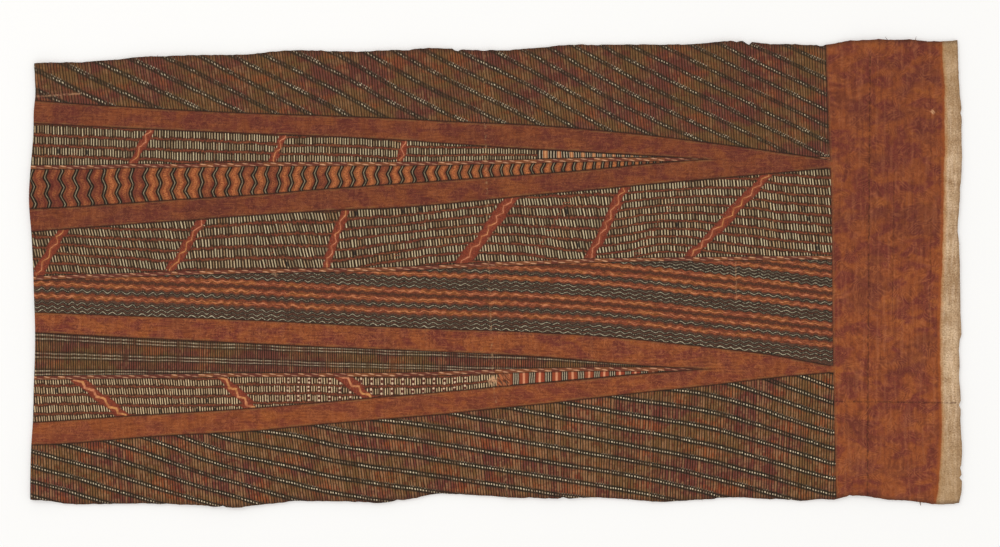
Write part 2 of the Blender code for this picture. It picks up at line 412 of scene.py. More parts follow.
bm = bmesh.new()
bmesh.ops.create_grid(bm, x_segments=len(columns) - 1, y_segments=ROWS, size=0.5)
grid_places = []
PLACE_OF = {"upper": upper_vertex, "fold": fold_vertex, "lower": lower_vertex}
for vertex in bm.verts:
    column = round((vertex.co.x + 0.5) * (len(columns) - 1))
    row = round((vertex.co.y + 0.5) * ROWS)
    kind, value = columns[column]
    share = row_share(row)
    vertex.co = PLACE_OF[kind](value, share)
    grid_places.append((kind, value, share))
low = [min(v.co[i] for v in bm.verts) for i in range(2)]
high = [max(v.co[i] for v in bm.verts) for i in range(2)]
solid_middle = [(cloth_low[i] + cloth_high[i]) / 2 / MM for i in range(2)]
sheet_shift = [solid_middle[i] - (low[i] + high[i]) / 2 for i in range(2)]
bmesh.ops.translate(bm, verts=bm.verts, vec=(sheet_shift[0], sheet_shift[1], 0.0))
for vertex, (kind, value, share) in zip(bm.verts, grid_places):
    station, height = vertex.co.x - FOLD_X, vertex.co.y
    vertex.co.y += trim("far", station) * fade_from_edge((1 - share) * WIDTH)
    vertex.co.y += trim("near", station) * fade_from_edge(share * WIDTH)
    if kind == "upper":
        vertex.co.x += trim("end", height) * fade_from_edge(LENGTH - value)
    vertex.co.x += trim("fold", height) * fade_from_edge(max(0.0, station - fold_station(share)))
EDGE_PLACES = {"far": ("upper", None, 1.0), "near": ("upper", None, 0.0), "end": ("upper", LENGTH, None)}
edge_points = {
    edge: [
        vertex.co.copy()
        for vertex, found in zip(bm.verts, grid_places)
        if all(wanted is None or wanted == value for wanted, value in zip(plan, found))
    ]
    for edge, plan in EDGE_PLACES.items()
}
bmesh.ops.reverse_faces(bm, faces=bm.faces)
design = [
    (design_station(kind, value, share, *vertex.co.xy), vertex.co.y)
    for vertex, (kind, value, share) in zip(bm.verts, grid_places)
]
print("sheet", [round(high[i] - low[i], 1) for i in range(2)], "mm")
print("moved onto the solid by", [round(shift, 2) for shift in sheet_shift], "mm")

# %% [markdown]
# ## The lines of the design
# Four rust bands run in from the fold, two and two, and each pair meets in a wedge. Between the bands lie a
# cord (a twisted two-colour line) in each wedge and one along the middle. The painter laid all of them by
# eye, so each is one row of heights above the middle of the cloth, in millimetres.

# %% Table of the lines that run along the cloth
PAINTED_LINES = rows_of(
    "station a_top a_bot cord_1 b_top b_bot cord_2 c_top c_bot cord_3 d_top d_bot",
    (2, 187.0, 161.8, 114.6, 69.8, 45.0, -5.2, -41.6, -63.5, -112.6, -160.6, -185.2),
    (53, 183.0, 159.3, 114.8, 72.4, 49.0, -3.0, -43.5, -66.3, -112.0, -157.5, -182.6),
    (107, 179.7, 156.6, 116.0, 76.2, 53.1, -1.5, -45.7, -69.2, -111.3, -153.8, -177.8),
    (161, 176.4, 154.1, 116.4, 79.9, 56.7, 0.4, -47.5, -71.8, -110.4, -150.4, -174.2),
    (237, 172.9, 151.0, 117.6, 84.6, 62.4, 2.3, -50.3, -75.4, -109.4, -145.6, -170.2),
    (323, 170.2, 147.6, 118.3, 91.6, 67.9, 3.7, -54.6, -79.6, -109.3, -138.2, -162.0),
    (399, 167.0, 143.9, 118.5, 96.8, 71.3, 5.3, -58.0, -82.7, -108.9, -131.6, -155.8),
    (453, 163.9, 140.0, 119.2, 100.8, 75.4, 7.6, -60.2, -85.0, -107.4, -127.0, -151.0),
    (507, 162.0, 136.2, 120.4, 104.6, 80.8, 10.4, -61.8, -87.6, -105.4, -122.0, -145.2),
    (561, 158.9, 133.2, 121.6, 108.5, 86.3, 12.4, -64.4, -90.6, -104.0, -117.2, -139.9),
    (615, 154.4, 130.2, 122.9, 113.0, 90.9, 14.2, -67.6, -95.6, -103.2, -112.4, -133.6),
    (669, 149.0, 127.0, 123.1, 118.6, 96.4, 15.0, -72.6, -100.0, -103.2, -107.6, -127.4),
    (723, 142.3, 123.7, 123.3, 122.8, 101.2, 15.6, -78.6, -103.1, -103.2, -103.3, -121.9),
    (790, 133.4, 116.4, 123.4, 129.4, 106.8, 16.6, -86.4, -110.6, -103.4, -97.0, -113.8),
    (863, 122.8, 108.4, 123.5, 136.6, 113.8, 17.3, -99.4, -119.5, -103.5, -89.0, -106.8),
)
PANEL_EDGE = rows_of(
    "height panel dye",
    (-252, 870.0, 977.0), (-215, 869.0, 981.2), (-137, 867.2, 983.0), (-70, 865.8, 981.6),
    (14, 865.2, 983.6), (101, 863.8, 985.4), (187, 860.2, 986.6), (252, 858.2, 983.5),
)
print("painted lines", len(PAINTED_LINES[0]) - 1)

# %% [markdown]
# ## Ruled fields
# Above the top band and below the bottom one, the ground is ruled across with a fine liner, a line for each
# three millimetres. Rows of cream dots cross the ruling on a slant, one dot in each gap, with a dark line
# on each side. Each vertex keeps a count of ruled lines and a count of dotted rows, and the paint is later
# drawn where a count is whole.

# %% Ruling and dotted rows
DOTTED_ABOVE = rows_of(
    "station first pitch",
    (5, 329.0, 21.8), (107, 273.0, 20.3), (215, 217.5, 18.7), (323, 161.0, 19.8), (431, 106.0, 18.8),
    (539, 60.5, 17.7), (647, 4.5, 17.3), (755, -33.5, 16.2), (860, -93.0, 16.8),
)
DOTTED_BELOW = rows_of(
    "station count pitch",
    (0, 1.30, 16.0), (107, -0.57, 16.8), (215, -2.78, 15.1), (284, -3.84, 17.1), (339, -4.55, 17.3),
    (431, -5.29, 17.6), (647, -7.36, 16.5), (755, -8.76, 17.8), (865, -10.57, 16.5),
)
BELOW_HEIGHT = -212.2
RULING_LEVEL = {"above": 205, "below": -215}
RULING_ABOVE = rows_of(
    "station count tilt",
    (0, 0.0, 0.10), (110, 36.2, 0.14), (215, 72.0, 0.13), (323, 109.2, 0.13), (390, 132.3, 0.07),
    (500, 170.3, 0.12), (615, 209.9, 0.09), (775, 265.6, 0.05), (865, 297.2, 0.03),
)
RULING_BELOW = rows_of(
    "station tilt",
    (0, 0.02), (107, 0.06), (215, 0.09), (280, 0.15), (340, 0.14), (430, 0.11), (507, 0.09), (561, 0.04),
    (620, -0.02), (865, -0.04),
)
RULED_PITCH = {"above": 2.9, "wedge": 2.43, "below": 2.88}
DOUBLE_ROWS = rows_of(
    "station first second third",
    (0, -67.5, -87.6, -107.2), (107, -74.0, -91.2, -107.0), (215, -78.3, -94.5, -109.0),
    (323, -82.6, -98.3, -112.0), (431, -86.4, -101.6, -115.0), (539, -90.2, -105.0, -118.0),
    (647, -97.2, -112.0, -125.0),
)


def dotted_above(station, height):
    """A count of dotted rows in the upper field, whole on each row."""
    first = read(DOTTED_ABOVE, station, "first")
    return (first - height) / read(DOTTED_ABOVE, station, "pitch")


def dotted_below(station, height):
    """A count of dotted rows in the lower field."""
    start = read(DOTTED_BELOW, station, "count")
    return start + (BELOW_HEIGHT - height) / read(DOTTED_BELOW, station, "pitch")


def double_row(station, height):
    """A count of the double rows in the lower wedge, 1 to 3 from the band down."""
    first = read(DOUBLE_ROWS, station, "first")
    second = read(DOUBLE_ROWS, station, "second")
    third = read(DOUBLE_ROWS, station, "third")
    if height > second:
        return 2 - (height - second) / (first - second)
    return 2 + (second - height) / (second - third)


print("dotted rows at the fold", round(dotted_above(0, 230), 2), "and", round(dotted_below(0, -220), 2))

# %% [markdown]
# ## Dashed fields and slashes
# The middle field and the two thin wedges are filled with rows of short upright dashes, cream between
# black. Slanting slashes of plain rust with a bright zigzag core divide them into panels, and the painter
# set out each panel's rows afresh, with its own slope, pitch and lean.

# %% Panels of dashes
SLASHES = tables_of(
    "top_station top_height low_station low_height half_width",
    upper=[(129, 155, 110, 118.5, 4.0), (274, 148.5, 261, 119.5, 3.8), (404, 144, 400, 120.5, 3.6)],
    middle=[
        (34, 46, 10, 2.5, 5.2), (182, 51.5, 154, 7.0, 4.6), (339, 64.5, 319, 8.0, 4.4),
        (519, 79.5, 467, 12.5, 6.2), (639, 89.0, 605, 19.0, 4.8), (797, 107.5, 713, 19.0, 5.0),
    ],
    lower=[(54, -117, 98, -151.5, 5.0), (209, -114, 236, -142, 5.4), (340.5, -113.4, 365.3, -132.8, 5.2)],
)
PANEL_ROWS = {
    field: [rows_of("station first pitch", *panel) for panel in panels]
    for field, panels in {
        "upper": [
            [(0, 150.4, 11.9), (20, 149.4, 11.6), (68, 147.1, 11.0), (130, 143.6, 10.6)],
            [
                (110, 145.4, 11.0), (136, 145.6, 11.4), (166, 145.0, 12.4), (195, 143.2, 11.5),
                (253, 140.4, 10.4), (275, 139.2, 10.2),
            ],
            [
                (260, 138.3, 9.6), (292, 138.2, 9.5), (321, 138.6, 10.0), (350, 137.4, 10.4),
                (403, 133.6, 9.6),
            ],
            [(400, 137.0, 9.4), (438, 136.0, 8.7), (500, 136.4, 8.2), (550, 134.0, 6.6)],
        ],
        "middle": [
            [(0, 40.0, 11.8), (40, 38.4, 11.8)],
            [
                (39, 51.3, 10.1), (68, 49.6, 10.3), (88, 48.2, 10.15), (107, 47.5, 10.35),
                (127, 47.6, 11.05), (175, 47.4, 11.7),
            ],
            [
                (150, 46.8, 11.2), (175, 48.9, 11.3), (204, 51.6, 11.9), (243, 54.3, 12.5),
                (272, 55.3, 12.75), (335, 55.4, 12.8),
            ],
            [
                (325, 58.0, 11.0), (340, 58.5, 10.9), (379, 61.0, 9.9), (399, 62.4, 9.6), (438, 66.8, 9.4),
                (505, 74.6, 9.8),
            ],
            [
                (470, 82.9, 10.0), (525, 82.6, 10.2), (545, 82.4, 10.45), (564, 83.3, 11.2),
                (603, 84.6, 12.15), (640, 84.8, 12.6),
            ],
            [
                (612, 82.0, 8.8), (642, 86.6, 8.95), (661, 88.4, 8.55), (681, 89.8, 8.3), (700, 90.8, 8.5),
                (720, 92.3, 9.0), (745, 92.9, 9.8), (795, 91.4, 10.4),
            ],
            [
                (715, 117.0, 10.1), (768, 112.0, 10.15), (788, 110.4, 10.2), (807, 107.2, 10.15),
                (826, 105.5, 10.1), (865, 103.4, 10.3),
            ],
        ],
        "lower": [
            [(0, -110.7, 10.4), (49, -111.0, 9.9), (95, -110.6, 10.0)],
            [
                (50, -111.4, 10.3), (107, -111.6, 10.3), (136, -111.6, 10.4), (166, -113.0, 9.85),
                (235, -112.4, 9.7),
            ],
            [
                (210, -110.0, 9.9), (243, -109.9, 9.9), (302, -110.6, 9.4), (331, -111.2, 9.7),
                (365, -111.4, 9.8),
            ],
            [
                (340, -111.2, 11.0), (389, -111.2, 10.7), (428, -110.8, 10.8), (457, -110.4, 9.8),
                (486, -108.6, 8.4), (520, -106.6, 7.4),
            ],
        ],
    }.items()
}
FAR_FROM_SLASHES = (60.0, 0.0, 4.0)
ROWS_A_PANEL = 10
DASH_PITCH = {"upper": 2.83, "middle": 3.17, "lower": 2.67}
DASH_TILT = tables_of(
    "station tilt",
    upper=[(0, 0.01), (600, 0.01)],
    middle=[
        (0, 0.20), (64, 0.26), (161, 0.21), (192, 0.09), (230, 0.09), (258, 0.23), (300, 0.25),
        (350, 0.12), (485, 0.12), (550, 0.19), (600, 0.20), (647, 0.07), (744, 0.10), (865, 0.14),
    ],
    lower=[(0, 0.07), (90, 0.15), (140, 0.14), (190, 0.07), (300, 0.02), (600, 0.03)],
)


def slash_place(slash, height):
    """Station of a slash's middle line at a height."""
    way = (slash["top_height"] - height) / (slash["top_height"] - slash["low_height"])
    return slash["top_station"] + (slash["low_station"] - slash["top_station"]) * way


def nearest_slash(slashes, station, height):
    """How far across and along the nearest slash a point is, in millimetres, and the slash's half width."""
    found = FAR_FROM_SLASHES
    for slash in slashes:
        top_station, top_height = slash["top_station"], slash["top_height"]
        run, drop = slash["low_station"] - top_station, slash["low_height"] - top_height
        direction = Vector((run, drop)).normalized()
        offset = Vector((station - top_station, height - top_height))
        side = offset.x * -direction.y + offset.y * direction.x
        if abs(side) < abs(found[0]):
            found = (side, offset.dot(direction), slash["half_width"])
    return found


def dashes_at(field, station, height):
    """A count of rows and a count of dashes, with the lean of each dash, for one point."""
    panel = sum(station > slash_place(slash, height) for slash in SLASHES[field])
    plan = PANEL_ROWS[field][panel]
    pitch = read(plan, station, "pitch")
    row = (read(plan, station, "first") - height) / pitch
    lean = read(DASH_TILT[field], station, "tilt") * pitch / DASH_PITCH[field]
    return row + ROWS_A_PANEL * panel, station / DASH_PITCH[field], lean


print("panels", {name: len(panels) for name, panels in PANEL_ROWS.items()})

# %% [markdown]
# ## Zigzag columns and waves
# Under the upper cord stand columns of paired zigzag strokes, which crowd together towards the wedge's tip.
# The field under the middle cord holds long rows of waves. Both are counts as well: columns along and
# periods down for the zigzags, and wavelengths along for the waves.

# %% Counts for zigzags and waves
ZIGZAG_COLUMNS = rows_of(
    "station column",
    (-20, -1.5), (3, 0), (65, 4), (124, 8), (184, 12), (241, 16), (294, 20), (347, 24), (400, 28),
    (451, 32), (497, 36), (541, 40), (586, 44), (617, 47), (680, 55), (740, 64),
)
ZIGZAG_PERIOD = rows_of("station period", (0, 18.5), (400, 16.0), (800, 11.0))
WAVE_COUNT = rows_of("station count", (0, 0.0), (300, 27.8), (500, 46.0), (723, 66.2), (870, 80.4))
ZIGZAG_START = 0.27
WORN_CREASE = rows_of("height station", (-245, 516), (-115, 500), (-40, 496.5), (74, 493), (242, 489))

# %% Write the design onto the vertices
LINE_NAMES = [name for name in PAINTED_LINES[0] if name != "station"]
UPPER_WEDGE_TIP = 715
END_TO_RIM = 1.5


def field_of(station, height, lines):
    """Which dashed field a point is nearest to."""
    if station < UPPER_WEDGE_TIP and height > (lines["b_top"] + lines["b_bot"]) / 2:
        return "upper"
    if height > (lines["c_top"] + lines["c_bot"]) / 2:
        return "middle"
    return "lower"


def design_values(station, height):
    """All the vectors that one vertex keeps for the paint."""
    lines = {name: read(PAINTED_LINES, station, name) for name in LINE_NAMES}
    above = {name: height - value for name, value in lines.items()}
    panel = station - read(PANEL_EDGE, height, "panel")
    dye = station - read(PANEL_EDGE, height, "dye")
    upper_field = height > (lines["a_top"] + lines["a_bot"]) / 2
    d_middle = (lines["d_top"] + lines["d_bot"]) / 2
    if upper_field or height > 0:
        tilted = read(RULING_ABOVE, station, "tilt") * (height - RULING_LEVEL["above"])
        ruling = read(RULING_ABOVE, station, "count") + tilted / RULED_PITCH["above"]
        dotted = dotted_above(station, height)
    elif station < UPPER_WEDGE_TIP and height > d_middle:
        ruling = station / RULED_PITCH["wedge"]
        dotted = double_row(station, height)
    else:
        tilted = read(RULING_BELOW, station, "tilt") * (height - RULING_LEVEL["below"])
        ruling = (station + tilted) / RULED_PITCH["below"]
        dotted = dotted_below(station, height)
    field = field_of(station, height, lines)
    row, dash, lean = dashes_at(field, station, height)
    side, down_slash, slash_width = nearest_slash(SLASHES[field], station, height)
    far_gap = WIDTH / 2 + read(LONG_EDGES, station, "far_edge") + sheet_shift[1] - height
    near_gap = WIDTH / 2 + read(LONG_EDGES, station, "near_edge") - sheet_shift[1] + height
    far_gap, near_gap = far_gap + trim("far", station), near_gap - trim("near", station)
    return {
        "upper_wedge": (above["a_top"], above["a_bot"], above["cord_1"]),
        "middle_field": (above["b_top"], above["b_bot"], above["cord_2"]),
        "lower_wedge": (above["c_top"], above["c_bot"], above["cord_3"]),
        "lower_field": (above["d_top"], above["d_bot"], panel),
        "ruling": (ruling, dotted, dye),
        "dashing": (row, dash, lean),
        "slashing": (side, down_slash, slash_width),
        "figures": (
            read(ZIGZAG_COLUMNS, station, "column"),
            ZIGZAG_START - above["cord_1"] / read(ZIGZAG_PERIOD, station, "period"),
            read(WAVE_COUNT, station, "count"),
        ),
        "place": (station, height, station - read(WORN_CREASE, height, "station")),
        "edges": (min(far_gap, near_gap), LENGTH - END_TO_RIM - station, 0.0),
    }


painted = [design_values(station, height) for station, height in design]
print("design values on", len(painted), "vertices")

# %% [markdown]
# ## From grid to sheet
# The grid becomes a mesh that carries the design as vector attributes, and Solidify gives it the thickness
# of beaten bark. The modifier's material offsets put the bare bark on the inner side and a felted finish on
# the rim. It is then made real, so that every face can be given its place in a map for baking the paint.

# %% Mesh, attributes and thickness
def mesh_of(bm, name):
    """Turns a finished bmesh into a mesh."""
    mesh = bpy.data.meshes.new(name)
    bm.to_mesh(mesh)
    bm.free()
    return mesh


def keep_vectors(mesh, name, vectors):
    """Keeps a vector for each vertex, under a name that a material can read."""
    attribute = mesh.attributes.new(name, "FLOAT_VECTOR", "POINT")
    attribute.data.foreach_set("vector", [number for vector in vectors for number in vector])


bmesh.ops.scale(bm, verts=bm.verts, vec=(MM, MM, MM))
grid_mesh = mesh_of(bm, "bark_sheet")
for name in painted[0]:
    keep_vectors(grid_mesh, name, [values[name] for values in painted])
sheet = add_object("bark_sheet", grid_mesh)
for name in ("painted_face", "bare_face", "felted_rim"):
    grid_mesh.materials.append(bpy.data.materials.new(name))
painted_face, bare_face, felted_rim = grid_mesh.materials
felt = sheet.modifiers.new("felt_thickness", "SOLIDIFY")
felt.thickness = SHEET_THICKNESS * MM
felt.offset = 0.0
felt.use_even_offset = True
felt.material_offset = 1
felt.material_offset_rim = 2
bpy.context.view_layer.update()
solid_mesh = bpy.data.meshes.new_from_object(sheet.evaluated_get(bpy.context.evaluated_depsgraph_get()))
sheet.modifiers.clear()
sheet.data = solid_mesh
solid_mesh.name = "bark_sheet"
solid_mesh.shade_smooth()
kinds = [sum(p.material_index == i for p in solid_mesh.polygons) for i in range(3)]
print("faces painted, bare and rim", kinds)

# %% Map for baking the paint
MAP_START, MAP_SPAN = -4.0, 1012.0
HALF_SPAN, RIGHT_HALF_START, HALVES_OVERLAP = 512.0, 497.0, 5.0
MAP_REACH = 254.5
corner_places = [tuple(item.vector) for item in solid_mesh.attributes["place"].data]
bake_map = solid_mesh.uv_layers.new(name="OFBake")
for polygon in solid_mesh.polygons:
    corners = [corner_places[i] for i in polygon.vertices]
    middle_station = sum(c[0] for c in corners) / len(corners)
    left_half = middle_station < RIGHT_HALF_START + HALVES_OVERLAP
    for loop, (station, height, _) in zip(polygon.loop_indices, corners):
        from_start, from_low = station - MAP_START, height + MAP_REACH
        if polygon.material_index == 0:
            u = (from_start if left_half else station - RIGHT_HALF_START) / HALF_SPAN
            v = (0.51 if left_half else 0.01) + 0.48 * from_low / (2 * MAP_REACH)
        elif polygon.material_index == 1:
            u = 0.01 + 0.98 * from_start / MAP_SPAN
            v = 0.4935 + 0.005 * from_low / (2 * MAP_REACH)
        else:
            u = 0.01 + 0.48 * from_start / MAP_SPAN + 0.48 * from_low / (2 * MAP_REACH)
            v = 0.5015 if loop % 2 else 0.5055
        bake_map.data[loop].uv = (u, v)
print("map", bake_map.name, "on", len(solid_mesh.loops), "corners")

# %% [markdown]
# ## Formulas as nodes
# The paint is a set of formulas on the counts above, and a material can hold formulas as Math nodes.
# Placing each one by hand would bury the idea, so a small class lets a value that is on its way through a
# material be added, multiplied and compared as a plain number is, and every step still places an ordinary
# node.


# %% Values on their way through a material
class Wire:
    """An output socket that arithmetic can be done on."""

    def __init__(self, tree, socket):
        self.tree = tree
        self.socket = socket

    def math(self, operation, *others):
        return maths(operation, self, *others)

    __add__ = __radd__ = partialmethod(math, "ADD")
    __sub__ = partialmethod(math, "SUBTRACT")
    __mul__ = __rmul__ = partialmethod(math, "MULTIPLY")
    __truediv__ = partialmethod(math, "DIVIDE")
    size = partialmethod(math, "ABSOLUTE")
    whole = partialmethod(math, "FLOOR")
    part = partialmethod(math, "FRACT")
    least = partialmethod(math, "MINIMUM")
    most = partialmethod(math, "MAXIMUM")

    def __rsub__(self, other):
        return maths("SUBTRACT", other, self)

    def __neg__(self):
        return self * -1.0

    def zigzag(self):
        """A triangle wave from -1 to 1, with one period for each whole number."""
        return ((self.part() - 0.5).size() * 4.0) - 1.0

    def swell(self):
        """A smooth wave from -1 to 1, with one period for each whole number."""
        wave = self.zigzag()
        return wave * (1.5 - wave * wave * 0.5)

    def from_whole(self):
        """Distance to the nearest whole number, from 0 to 0.5."""
        return 0.5 - (self.part() - 0.5).size()

    def rise(self, low, high):
        """0 below low, 1 above high and a soft step between them."""
        inputs = {"Value": self, "From Min": low, "From Max": high}
        return placed("ShaderNodeMapRange", inputs, "Result", interpolation_type="SMOOTHSTEP", clamp=False)

    def fall(self, low, high):
        """1 below low, 0 above high and a soft step between them."""
        return 1.0 - self.rise(low, high)

    def parts(self):
        """The three numbers of a vector."""
        separate = placed("ShaderNodeSeparateXYZ", {0: self})
        return [Wire(self.tree, socket) for socket in separate.socket.node.outputs]


def placed(kind, inputs, output=0, **settings):
    """Places a node in the tree that its values come from, and hands back one of its outputs."""
    tree = next(value.tree for value in inputs.values() if isinstance(value, Wire))
    node = tree.nodes.new(kind)
    for name, setting in settings.items():
        setattr(node, name, setting)
    for name, value in inputs.items():
        if isinstance(value, Wire):
            tree.links.new(value.socket, node.inputs[name])
        else:
            node.inputs[name].default_value = paint(*value) if isinstance(value, tuple) else value
    return Wire(tree, node.outputs[output])


def maths(operation, *values):
    return placed("ShaderNodeMath", dict(enumerate(values)), operation=operation)


# %% Colours, noise and places as nodes
def paint(red, green, blue):
    """A paint colour, from its screen values of 0 to 255 to the linear ones that a shader wants."""
    shares = [value / 255 for value in (red, green, blue)]
    linear = [s / 12.92 if s < 0.0404 else ((s + 0.055) / 1.055) ** 2.4 for s in shares]
    return (*linear, 1.0)


def mixed(share, under, over, blend="MIX"):
    """One colour laid over another by a share of 0 to 1. A plain colour is given by its screen values."""
    inputs = {"Factor": share, 6: under, 7: over}
    return placed("ShaderNodeMix", inputs, 2, data_type="RGBA", blend_type=blend)


def vector_of(x, y=0.0, z=0.0):
    return placed("ShaderNodeCombineXYZ", {0: x, 1: y, 2: z})


def grain(x, y=0.0, z=0.0, detail=2.0, roughness=0.5, distortion=0.0):
    """Noise of 0 to 1 at a place that is already in units of the grain."""
    inputs = {"Vector": vector_of(x, y, z), "Scale": 1.0}
    inputs.update({"Detail": detail, "Roughness": roughness, "Distortion": distortion})
    return placed("ShaderNodeTexNoise", inputs)


def chance(x, y, z=0.0, output="Value"):
    """A value of 0 to 1 that is the same all over one whole-numbered cell."""
    return placed("ShaderNodeTexWhiteNoise", {"Vector": vector_of(x, y, z)}, output)


def three_chances(x, y, z=0.0):
    """Three such values at once, from the three parts of one random colour."""
    return chance(x, y, z, "Color").parts()


def attribute_parts(tree, name):
    """The three numbers that each vertex keeps under a name."""
    source = tree.nodes.new("ShaderNodeAttribute")
    source.attribute_name = name
    return Wire(tree, source.outputs["Vector"]).parts()


# %% [markdown]
# ## Bark fibres, a shared group
# Every surface here is the same beaten bark, painted or bare, so its fibres are one node group. Long fibres
# run along the cloth, beating leaves a fine crosswise ripple, and the felt is patchy. The group puts out a
# height for bumps, a patchiness and a fine fleck, all from a place in millimetres.


# %% The bark group
BARK_OUTPUTS = ("Height", "Patches", "Flecks")


def bark_group():
    group = bpy.data.node_groups.new("beaten_bark", "ShaderNodeTree")
    group.interface.new_socket("Place", in_out="INPUT", socket_type="NodeSocketVector")
    for name in BARK_OUTPUTS:
        group.interface.new_socket(name, in_out="OUTPUT", socket_type="NodeSocketFloat")
    start = group.nodes.new("NodeGroupInput")
    end = group.nodes.new("NodeGroupOutput")
    x, y, _ = Wire(group, start.outputs["Place"]).parts()
    fibres = grain(x / 9.0, y / 1.1, detail=3.0, distortion=0.6)
    ripple = grain(x / 1.7, y / 5.0, detail=1.0)
    felt_grain = grain(x / 2.4, y / 2.4, detail=3.0, roughness=0.6)
    height = fibres * 0.5 + ripple * 0.2 + felt_grain * 0.3
    patches = grain(x / 34.0, y / 22.0, detail=4.0, roughness=0.62, distortion=0.4)
    for name, value in zip(BARK_OUTPUTS, (height, patches, fibres)):
        group.links.new(value.socket, end.inputs[name])
    return group


BARK = bark_group()


def bark_at(place):
    """Places the group in a material, and hands back its three outputs."""
    height = placed("ShaderNodeGroup", {"Place": place}, "Height", node_tree=BARK)
    return [Wire(place.tree, output) for output in height.socket.node.outputs]


print("group", BARK.name, "with", len(BARK.nodes), "nodes")

# %% [markdown]
# ## Ruled ground and dotted rows
# Between the fine dark lines the ground shows in narrow gaps, each a little redder, browner or paler than
# the next. A dotted row is a dark stripe with a cream dot in every gap, bright in places and almost worn
# away in others. In the lower wedge the stripe is wider and holds two pale lines that run on without a
# break.


# %% Ruled ground
def ruled_ground(marks, ruling, doubled):
    """The colour of the ruled fields, with the distance to the nearest line and the number of the gap."""
    uneven = grain(marks.x / 5.0, marks.y / 40.0, 2.0, detail=1.0) - 0.5
    count = ruling + marks.wobble * 0.12 + uneven * 0.7
    from_line = count.from_whole()
    gap = count.whole()
    gap_chance = chance(gap, 3.0)
    streak = grain(gap * 0.73, marks.y / 9.0, detail=3.0, roughness=0.65)
    ground = mixed(marks.region.rise(0.42, 0.57), (110, 60, 49), (117, 82, 48))
    ground = mixed(marks.patches.rise(0.50, 0.66) * (0.6 + marks.below * 0.2), ground, (142, 74, 40))
    ground = mixed((1.0 - streak).rise(0.50, 0.66) * 0.6, ground, (104, 48, 34))
    pale = (streak + gap_chance * 0.25 + marks.below * 0.06).rise(0.62, 0.86)
    ground = mixed(pale * (0.50 + marks.below * 0.20), ground, (156, 112, 78))
    ground = mixed((1.0 - marks.below) * 0.11, ground, (58, 58, 46))
    thickness = 0.27 + (marks.grit - 0.5) * 0.3
    line = from_line.fall(0.09, thickness) * (0.65 + marks.below * 0.12 + doubled * 0.17 + streak * 0.3)
    return mixed(line, ground, (31, 25, 16)), from_line, gap


# %% Dotted rows
def dotted_rows(colour, marks, dotted, spacing, from_line, gap, doubled):
    """Dotted rows laid over the ruled ground. In the lower wedge each row is double."""
    row = dotted + marks.wobble * 0.045
    off = ((row + 0.5).part() - 0.5) * spacing
    row_number = (row + 0.5).whole()
    cell = chance(gap, row_number)
    stretch = grain(marks.x / 15.0, row_number * 5.3, detail=3.0, roughness=0.6)
    crisp = marks.below
    from_middle = off.size()
    reach = 2.3 + doubled * 1.5 + stretch * 1.3
    stripe = from_middle.fall(reach - 0.9, reach + 1.2)
    soot = (0.36 + crisp * 0.06 + 0.55 * stretch) * (1.0 - doubled * 0.4)
    colour = mixed(stripe * soot, colour, (47, 44, 34))
    side_line = (from_middle - 1.75 - doubled * 1.55).size().fall(0.2, 0.9)
    ink = side_line.most(from_middle.fall(0.3, 0.9) * doubled)
    colour = mixed(ink * (0.10 + 0.40 * cell + crisp * 0.36 + doubled * 0.1), colour, (24, 22, 16))
    single = (off + (cell - 0.5) * (1.3 - crisp * 0.9)).size()
    double = (from_middle - 1.75).size()
    from_dots = single + (double - single) * doubled
    gaps = from_line.fall(0.08, 0.26) * single.fall(0.7, 1.5) * (1.0 - doubled)
    colour = mixed(gaps * 0.7, colour, (20, 18, 14))
    across = from_line.rise(0.20, 0.38).most(doubled * 0.45)
    bright = (stretch + crisp * 0.07 + doubled * 0.08).rise(0.40, 0.60) * (0.30 + cell * 0.70)
    dots = from_dots.fall(0.40, 1.0 - doubled * 0.15) * across * bright
    dots = dots * (0.76 + crisp * 0.18 - doubled * 0.28)
    colour = mixed(dots, colour, (234, 216, 180))
    second_stretch = grain(marks.x / 20.0, row_number * 3.1, 9.0)
    second = (off + 2.5).size().fall(0.4, 0.95) * from_line.fall(0.12, 0.30) * (1.0 - doubled)
    second = second * second_stretch.rise(0.50, 0.62) * (0.2 + cell * 0.5) * (1.0 - crisp * 0.6)
    return mixed(second, colour, (214, 192, 162))


# %% [markdown]
# ## Rows of dashes
# Each dash is a cream stroke with a black stroke on each side that is a little longer, and no two are
# alike: they vary in height, strength and hue, and here and there one is blotted out. Between the rows runs
# an uneven red line. Towards the lower wedge's tip a column of two round dots follows each three or four
# strokes.

# %% Dashes
DOT_COLUMN, DOT_PITCH = 379.8, 11.25


